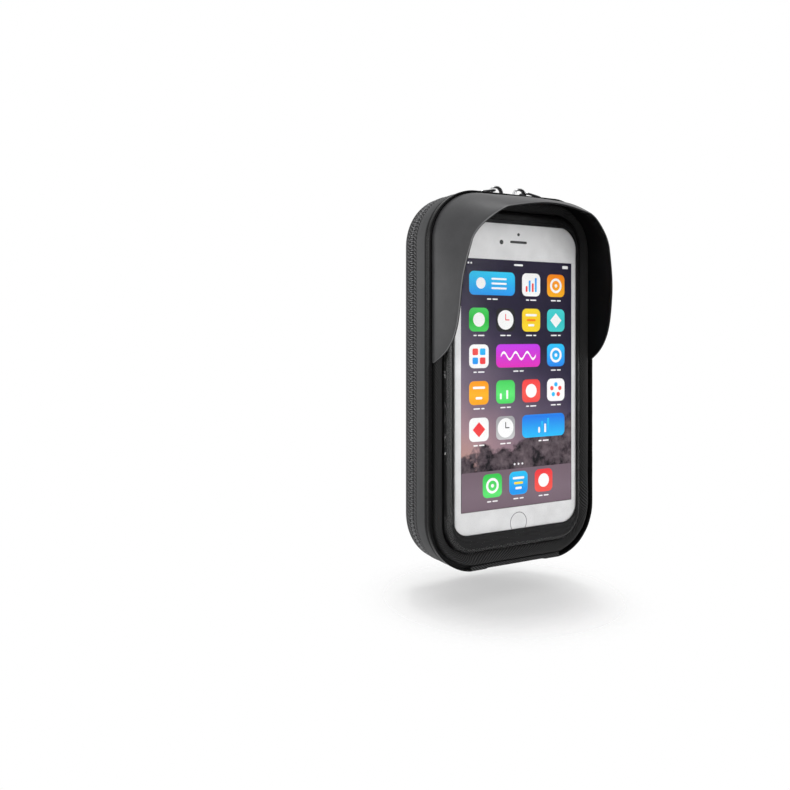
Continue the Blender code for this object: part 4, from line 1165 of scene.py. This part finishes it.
def phone_screen():
    """Lit screen: wallpaper, plain coloured tiles with generic motifs, and small bars under them."""
    low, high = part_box("phone_screen")
    width = high.x - low.x
    tall = high.z - low.z
    left = low.x
    top = high.z - MIDDLE_Z
    rear = high.y - FRONT_Y
    middle = ((low.x + high.x) / 2, (low.z + high.z) / 2 - MIDDLE_Z)
    bm = bmesh.new()
    flat_prism(bm, rounded_outline(*middle, width, tall, 0.25 * MM, 3), PHONE_FRONT + 0.02 * MM, rear)
    settle(mesh_piece("screen_picture", bm, [SCREEN]), "lid", "phone_screen", "phone_screen")

    side_margin = 4.6 * MM
    column_pitch = (width - 2 * side_margin - SCREEN_TILE) / 3
    first_row = top - 6.0 * MM - SCREEN_TILE / 2
    row_pitch = 17.6 * MM
    face = PHONE_FRONT - 0.03 * MM
    back = PHONE_FRONT + 0.01 * MM
    bm = bmesh.new()
    motifs = bmesh.new()
    label = COLOUR_NAMES.index("white")

    def tile(column, height, span, colour, kind):
        tile_width = SCREEN_TILE + column_pitch * (span - 1)
        x = left + side_margin + SCREEN_TILE / 2 + column_pitch * (column + (span - 1) / 2)
        flat_prism(bm, rounded_outline(x, height, tile_width, SCREEN_TILE, SCREEN_RADIUS), face, back,
                   COLOUR_NAMES.index(colour))
        ink, accent = MOTIF_INKS[colour]
        motif(motifs, kind, x, height, SCREEN_TILE, ink, accent, face)
        line = height - SCREEN_TILE / 2 - 1.9 * MM
        share = 0.35 + 0.3 * ((len(kind) * 7 + int(column * 2)) % 4) / 3
        for start_share, end_share in ((0.0, share - 0.06), (share + 0.06, 1.0)):
            middle_x = x + LABEL_WIDTH * ((start_share + end_share) / 2 - 0.5)
            flat_prism(bm, rounded_outline(middle_x, line, LABEL_WIDTH * (end_share - start_share),
                                           0.62 * MM, 0.26 * MM, 2), face, back, label)

    for column, row, span, colour, kind in SCREEN_TILES:
        tile(column, first_row - row_pitch * row, span, colour, kind)
    dock = top - tall + 11.6 * MM
    dock_bar = rounded_outline(middle[0], top - tall + 9.5 * MM, width - 0.5 * MM, 18.6 * MM, 0.3 * MM, 2)
    flat_prism(bm, dock_bar, PHONE_FRONT - 0.005 * MM, back, COLOUR_NAMES.index("mauve"))
    for column, colour, kind in DOCK_TILES:
        tile(column, dock, 1, colour, kind)
    status = top - 2.2 * MM
    small = [disc_outline(left + (2.6 + 1.6 * step) * MM, status, 0.5 * MM, 12) for step in range(3)]
    small += [rounded_outline(middle[0], status, 5.5 * MM, 0.9 * MM, 0.4 * MM, 2),
              rounded_outline(left + width - 4.2 * MM, status, 3.6 * MM, 1.5 * MM, 0.3 * MM, 2)]
    small += [disc_outline(middle[0] + (step - 1) * 2.4 * MM, dock + 9.4 * MM, 0.55 * MM, 12)
              for step in range(3)]
    for outline in small:
        flat_prism(bm, outline, face, back, label)
    colours = [tile_colour(name, *SCREEN_COLOURS[name]) for name in COLOUR_NAMES]
    settle(mesh_piece("screen_tiles", bm, colours, 30.0), "lid", "phone_screen")
    settle(mesh_piece("screen_motifs", motifs, colours, 30.0), "lid", "phone_screen")


# Sliders


def squared(value, power):
    """Push a sine or cosine towards the sides of a square."""
    return math.copysign(abs(value) ** power, value)


def slider(side):
    """Plated slider: a rounded plate over the chain and the arched bridge that holds its pull."""
    low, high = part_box("slider_" + side)
    x = (low.x + high.x) / 2
    half_length = (high.x - low.x) / 2
    half_width = (high.y - low.y) / 2
    under = low.z - MIDDLE_Z
    plate = 1.3 * MM
    rounding = 0.45 * MM
    levels = [(0.0, 0.3 * MM), (0.12 * MM, 0.08 * MM), (0.3 * MM, 0.0), (plate - rounding, 0.0)]
    for step in range(1, 6):
        turn = math.pi / 2 * step / 5
        levels.append((plate - rounding + rounding * math.sin(turn), rounding * (1 - math.cos(turn))))
    rows = []
    for level, inset in levels:
        row = []
        for turn in turns(64):
            flat_x = squared(math.cos(turn), 0.42)
            flat_y = squared(math.sin(turn), 0.42)
            waist = 1.0 - 0.1 * math.cos(math.pi * flat_x * 0.9) ** 2
            row.append(world(x + (half_length - inset) * flat_x,
                             PARTING + (half_width - inset) * flat_y * waist, under + level))
        rows.append(row)
    bm = bmesh.new()
    add_solid(bm, rows)
    wall = 0.6 * MM
    bridge_half = 4.3 * MM - wall
    foot = under + plate * 0.6
    rise = high.z - MIDDLE_Z - foot - wall
    arch_steps = 28
    sides = 14
    rows = []
    for step in range(arch_steps + 1):
        angle = math.pi * step / arch_steps
        centre = Vector((squared(math.cos(angle), 0.75) * bridge_half, 0.0,
                         math.sin(angle) ** 0.75 * rise))
        slope = Vector((math.cos(angle) / bridge_half, 0.0, math.sin(angle) / rise)).normalized()
        width = 1.2 * MM * (1.15 - 0.15 * math.sin(angle))
        row = []
        for turn in turns(sides):
            place = centre + slope * (squared(math.sin(turn), 0.6) * wall)
            row.append(world(x + place.x, PARTING + squared(math.cos(turn), 0.6) * width, foot + place.z))
        rows.append(row)
    verts = add_solid(bm, rows)
    # The inner half of the arch takes the dark plating: painted shade inside the chrome arch
    for row, after in zip(verts, verts[1:]):
        for index in range(sides // 2, sides):
            corners = {row[index], row[(index + 1) % sides]}
            for face in row[index].link_faces:
                if corners <= set(face.verts) and after[index] in face.verts:
                    face.material_index = 1
    piece = mesh_piece("slider_body_" + side, bm, [CHROME_AND_HIGHLIGHT, DARK_PLATING_AND_SHADE])
    settle(piece, "slider_" + side, "slider_metal", "slider_" + side)


PULL_PIVOT = 186.3 * MM


def pull(side, facing):
    """Plated wire loop of the slider."""
    low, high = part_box("pull_" + side)
    wire = 0.65 * MM
    wire_sides = 12
    tilt = math.radians(-10.0)
    length = 10.3 * MM
    corner = 2.4 * MM
    half_width = (high.y - low.y) / 2 - wire
    pivot_x = (high.x - wire) if facing < 0 else (low.x + wire)
    pivot_z = PULL_PIVOT - MIDDLE_Z
    path = []
    for far, side_y, start in ((1, 1, 0.0), (0, 1, 90.0), (0, -1, 180.0), (1, -1, 270.0)):
        for step in range(9):
            angle = math.radians(start + 90.0 * step / 8)
            path.append(((length - corner if far else corner) + corner * math.cos(angle),
                         side_y * (half_width - corner) + corner * math.sin(angle)))
    rows = [[] for _ in range(wire_sides)]
    for index, (along, across) in enumerate(path):
        ahead = path[(index + 1) % len(path)]
        behind = path[index - 1]
        direction = Vector((ahead[0] - behind[0], ahead[1] - behind[1])).normalized()
        normal = Vector((direction.y, -direction.x))
        for row, turn in zip(rows, turns(wire_sides)):
            reach = wire * math.cos(turn)
            lift = wire * math.sin(turn)
            run = along + normal.x * reach
            row.append(world(
                pivot_x + facing * (run * math.cos(tilt) - lift * math.sin(tilt)),
                PARTING + across + normal.y * reach,
                pivot_z + run * math.sin(tilt) + lift * math.cos(tilt)))
    # The wire's top strip takes chrome: a painted highlight on the dark plated loop
    piece = closed_piece("pull_loop_" + side, rows, [DARK_PLATING_AND_SHADE, CHROME_AND_HIGHLIGHT],
                         strip_material=[1 if 1 <= index <= 4 else 0 for index in range(wire_sides)])
    settle(piece, "pull_" + side, "slider_metal", "pull_" + side)


# Back of the tub


def cad_finish(node, material):
    """Give a solid that stays visible its finish."""
    thing = frame["nodes"][node]
    thing.data.materials.clear()
    thing.data.materials.append(material)


def strap_height(end):
    """Height of a strap's middle over the bag's middle."""
    low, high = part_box("strap_" + end)
    return (low.z + high.z) / 2 - MIDDLE_Z


def strap(end):
    """Hook-and-loop strap, threaded through its loop and closed on itself."""
    node = "strap_" + end
    low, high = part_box(node)
    thickness = 1.4 * MM
    to_middle = 0.75 * MM
    top = high.y - FRONT_Y - to_middle
    outer = top - 1.8 * MM
    inner = low.y - FRONT_Y + to_middle
    half_span = 33.0 * MM
    turn_radius = (outer - inner) / 2
    wide_radius = (top - inner) / 2
    path = [(11.0 * MM - 2.0 * MM * step, outer) for step in range(22)]
    for step in range(17):
        angle = math.pi * step / 16
        path.append((-half_span - turn_radius * math.sin(angle),
                     inner + turn_radius * (1 + math.cos(angle))))
    path += [(-half_span + 3.0 * MM * step, inner) for step in range(1, 22)]
    for step in range(17):
        angle = math.pi * step / 16
        path.append((half_span + wide_radius * math.sin(angle),
                     inner + wide_radius * (1 - math.cos(angle))))
    path += [(half_span - 2.0 * MM * step, top) for step in range(1, 23)]
    half_width = (high.z - low.z) / 2
    columns = 14
    rows = [[world(x, depth, strap_height(end) + half_width * (2 * column / columns - 1))
             for column in range(columns + 1)] for x, depth in path]
    bm = bmesh.new()
    add_skin(bm, rows, close_around=False)
    piece = mesh_piece("web_" + node, bm, [STRAP_LOOPS], outward=False)
    thicken(piece, thickness).use_even_offset = True
    edge = piece.modifiers.new("rounding", "BEVEL")
    edge.width = thickness * 0.3
    edge.segments = 2
    edge.limit_method = "ANGLE"
    settle(piece, "tub", "webbing", node)


# Cross sections of a stitch: place along it and share of its thickness
STITCH_RINGS = ((-0.5, 0.35), (-0.38, 0.85), (0.0, 1.0), (0.38, 0.85), (0.5, 0.35))


def stitch_line(name, path, pitch, length, thickness):
    """Row of short thread stitches along a path of points, each a small rounded bar."""
    up = Vector((0.0, 1.0, 0.0))
    bm = bmesh.new()
    runs = ring_length(path, closed=False)
    place = 0.0
    index = 0
    while place + length < runs[-1]:
        middle = place + length / 2
        while index < len(runs) - 2 and runs[index + 1] < middle:
            index += 1
        first, second = path[index], path[index + 1]
        share = (middle - runs[index]) / max(runs[index + 1] - runs[index], 1e-9)
        centre = first.lerp(second, share)
        along = (second - first).normalized()
        across = along.cross(up).normalized()
        add_solid(bm, [[centre + along * (length * step)
                        + across * (thickness / 2 * size * math.cos(angle))
                        + up * (thickness / 2 * size * math.sin(angle)) for angle in turns(8)]
                       for step, size in STITCH_RINGS])
        place += pitch
    settle(mesh_piece(name, bm, [THREAD]), "tub", "webbing")


def strap_loop(end):
    """Webbing loop sewn to the tub above and below its strap, with box stitches."""
    name = "strap_loop_" + end
    height = strap_height(end)
    low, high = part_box(name)
    webbing = 1.2 * MM
    seat = low.y - FRONT_Y + webbing / 2
    crest = high.y - FRONT_Y - webbing / 2
    half_length = (high.z - low.z) / 2
    half_gap = 13.4 * MM
    ramp = 2.1 * MM
    profile = [(-half_length, seat), (-half_gap - ramp, seat)]
    profile += [(-half_gap - ramp + ramp * share / 6, seat + (crest - seat) * smooth(share / 6))
                for share in range(1, 7)]
    profile += [(half_gap * (share / 6 - 1), crest) for share in range(1, 12)]
    profile += [(half_gap + ramp * share / 6, crest + (seat - crest) * smooth(share / 6))
                for share in range(0, 7)]
    profile.append((half_length, seat))
    half_width = (high.x - low.x) / 2
    columns = 16
    rows = [[world(half_width * (2 * column / columns - 1), depth, height + along)
             for column in range(columns + 1)] for along, depth in profile]
    bm = bmesh.new()
    add_skin(bm, rows, close_around=False)
    piece = mesh_piece("web_" + name, bm, [WEBBING], outward=False)
    thicken(piece, webbing)
    settle(piece, "tub", "webbing", name)
    box_x = half_width - 2.2 * MM
    box_z = 1.6 * MM
    face = seat + webbing / 2 + 0.05 * MM
    corners = [(-box_x, -box_z), (box_x, -box_z), (box_x, box_z), (-box_x, box_z), (-box_x, -box_z)]
    for side in (-1, 1):
        middle = height + (half_length + half_gap + ramp) / 2 * side
        path = []
        for (x0, z0), (x1, z1) in zip(corners, corners[1:]):
            steps = max(2, int(math.hypot(x1 - x0, z1 - z0) / MM))
            path += [world(x0 + (x1 - x0) * step / steps, face, middle + z0 + (z1 - z0) * step / steps)
                     for step in range(steps)]
        stitch_line(f"stitches_{name}_{'upper' if side > 0 else 'lower'}", path,
                    2.2 * MM, 1.6 * MM, 0.4 * MM)


def back_pad():
    """Rubber pad that beds on the top tube, with shallow grip ribs."""
    low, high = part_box("back_pad")
    front = low.y - FRONT_Y
    rear = high.y - FRONT_Y
    half_width = (high.x - low.x) / 2
    half_height = (high.z - low.z) / 2
    rounding = 0.9 * MM
    bm = bmesh.new()

    def plate(levels, height, half_w, half_h, radius, steps):
        add_solid(bm, [[world(x, depth, z) for x, z in
                        rounded_outline(0.0, height, 2 * (half_w - inset), 2 * (half_h - inset),
                                        radius - inset, steps)] for depth, inset in levels])

    levels = [(front, 0.0), (rear - rounding, 0.0)]
    levels += [(rear - rounding + rounding * math.sin(turn), rounding * (1 - math.cos(turn)))
               for turn in (math.pi / 2 * step / 5 for step in range(1, 6))]
    levels += [(rear, 2.2 * MM), (rear - 0.5 * MM, 2.5 * MM)]
    plate(levels, 0.0, half_width, half_height, 6.0 * MM, 8)
    ribs = 9
    margin = 4.5 * MM
    rib_levels = ((rear - 0.6 * MM, 0.0), (rear - 0.15 * MM, 0.0), (rear - 0.03 * MM, 0.12 * MM),
                  (rear, 0.4 * MM))
    for index in range(ribs):
        height = -half_height + margin + 2 * (half_height - margin) / (ribs - 1) * index
        plate(rib_levels, height, half_width - 4.0 * MM, MM, 0.9 * MM, 4)
    settle(mesh_piece("tube_pad", bm, [RUBBER]), "tub", "pad_rubber", "back_pad")


# Stage

CAMERA_PLACE = (-0.2484, -0.3308, 0.113)
CAMERA_AZIMUTH = 29.4
CAMERA_LENS = 37.05
CAMERA_SHIFT = -0.0763
AMBIENT = 0.3
FLOOR_GLOW = 0.22
FLOOR_DROP = 0.018
SHADOW_REACH = 0.02
FLOOR_FADE = 0.08
WHITE = (1.0, 1.0, 1.0, 1.0)

# Lamps: name, place, target, size and power
LAMPS = (
    ("key_left", (-1.1, -0.6, 0.36), (0.0, 0.0, 0.1), (0.9, 0.9), 6.2),
    ("left_rim", (-0.75, 0.95, 0.3), (0.0, 0.0, 0.12), (0.5, 0.4), 2.2),
    ("front_fill", (0.25, -1.3, 0.35), (0.0, 0.0, 0.09), (1.2, 0.8), 10.5),
    ("right_strip", (0.9, -0.35, 0.4), (0.0, 0.0, 0.1), (0.25, 0.9), 1.0),
    ("rear_top", (0.06, 0.12, 1.5), (0.0, 0.0, 0.0), (0.35, 0.35), 6.5),
)


def make_camera():
    """Camera at the photograph's viewing angle, level, with its horizon above the middle."""
    data = bpy.data.cameras.new("camera")
    data.lens = CAMERA_LENS
    data.sensor_width = 36.0
    data.shift_y = CAMERA_SHIFT
    data.clip_start = 0.01
    data.clip_end = 50.0
    camera = bpy.data.objects.new("camera", data)
    camera.location = CAMERA_PLACE
    camera.rotation_euler = (math.pi / 2, 0.0, -math.radians(CAMERA_AZIMUTH))
    bpy.context.scene.collection.objects.link(camera)
    bpy.context.scene.camera = camera


def area_light(name, location, target, size, power):
    """Soft rectangular lamp that faces a target."""
    data = bpy.data.lights.new(name, "AREA")
    data.shape = "RECTANGLE"
    data.size, data.size_y = size
    data.energy = power
    lamp = bpy.data.objects.new(name, data)
    lamp.location = location
    direction = Vector(target) - Vector(location)
    lamp.rotation_euler = direction.to_track_quat("-Z", "Y").to_euler()
    bpy.context.scene.collection.objects.link(lamp)


def seen_rays(tree):
    """Light Path, and 1 for rays that see the backdrop straight or through clear film."""
    path = add_node(tree, "ShaderNodeLightPath")
    seen = math_of(tree, "MAXIMUM", path.outputs["Is Camera Ray"], path.outputs["Is Transmission Ray"])
    return path, seen


def make_world():
    """Even soft light, a white backdrop for the camera, and its rear half for what mirrors it."""
    world_data = bpy.data.worlds.new("studio")
    world_data.use_nodes = True
    bpy.context.scene.world = world_data
    tree = world_data.node_tree
    tree.nodes.clear()
    path, seen = seen_rays(tree)
    direction = add_node(tree, "ShaderNodeTexCoord").outputs["Generated"]
    split = add_node(tree, "ShaderNodeSeparateXYZ", {"Vector": direction})
    mirrored = map_range(tree, split.outputs["Y"], -0.1, 0.6, 0.0, 1.0 - AMBIENT)
    glossy = math_of(tree, "MULTIPLY", path.outputs["Is Glossy Ray"], mirrored)
    strength = math_of(tree, "MAXIMUM", math_of(tree, "ADD", glossy, AMBIENT), seen)
    background = add_node(tree, "ShaderNodeBackground", {"Color": WHITE, "Strength": strength})
    add_node(tree, "ShaderNodeOutputWorld", {"Surface": background.outputs["Background"]})


def make_floor():
    """Floor that keeps the bag's shadow. Further out the camera sees the white world through it."""
    bpy.ops.mesh.primitive_plane_add(size=8.0, location=(0.0, 0.0, -FLOOR_DROP))
    floor = bpy.context.object
    floor.name = "floor"
    made, tree, shader = new_material("floor", (0.9, 0.9, 0.9), 0.9, Specular_IOR_Level=0.0)
    path, seen = seen_rays(tree)
    camera_ray = path.outputs["Is Camera Ray"]
    seen = math_of(tree, "MAXIMUM", seen, path.outputs["Is Glossy Ray"])
    glow = add_node(tree, "ShaderNodeEmission",
                    {"Color": WHITE, "Strength": math_of(tree, "MULTIPLY", seen, FLOOR_GLOW)})
    near = add_node(tree, "ShaderNodeAddShader", {0: shader.outputs["BSDF"], 1: glow.outputs["Emission"]})
    distance = add_node(tree, "ShaderNodeVectorMath", {0: object_place(tree)}, operation="LENGTH")
    far = map_range(tree, distance.outputs["Value"], SHADOW_REACH, FLOOR_FADE,
                    interpolation_type="SMOOTHSTEP")
    mirrored = math_of(tree, "MULTIPLY", far, math_of(tree, "SUBTRACT", seen, camera_ray))
    white = add_node(tree, "ShaderNodeEmission", {"Color": WHITE, "Strength": 1.0})
    closed = add_node(tree, "ShaderNodeMixShader",
                      {"Fac": mirrored, 1: near.outputs["Shader"], 2: white.outputs["Emission"]})
    clear = add_node(tree, "ShaderNodeBsdfTransparent")
    surface = add_node(tree, "ShaderNodeMixShader",
                       {"Fac": math_of(tree, "MULTIPLY", far, camera_ray),
                        1: closed.outputs["Shader"], 2: clear.outputs["BSDF"]})
    tree.links.new(surface.outputs["Shader"], tree.nodes["Material Output"].inputs["Surface"])
    floor.data.materials.append(made)


make_camera()
make_world()
make_floor()
for lamp_values in LAMPS:
    area_light(*lamp_values)

lid_wall()
piping()
frame_band()
bezel()
film()
visor()
tape("zip_tape_lid", LID_TAPE_FRONT, LID_TAPE_REAR, "lid", "lid_zip_tape")
tape("zip_tape_tub", TUB_TAPE_FRONT, TUB_TAPE_REAR, "tub", "tub_zip_tape")
coil("zip_coil_lid", LID_TEETH_FRONT, 1, 0.0, "lid", "lid_zip_teeth")
coil("zip_coil_tub", TUB_TEETH_REAR, -1, 0.5, "tub", "tub_zip_teeth")
hinge_cloth()
tub()
phone_front()
phone_screen()
for side_name, facing in (("left", -1), ("right", 1)):
    slider(side_name)
    pull(side_name, facing)
for strap_end in ("upper", "lower"):
    strap(strap_end)
    strap_loop(strap_end)
back_pad()
cad_finish("phone_body", PHONE_METAL)
cad_finish("phone_pad", FOAM)
cad_finish("pocket_foam", FOAM)
cad_finish("pocket_flap", LINING)

bpy.context.scene.view_settings.view_transform = "Standard"
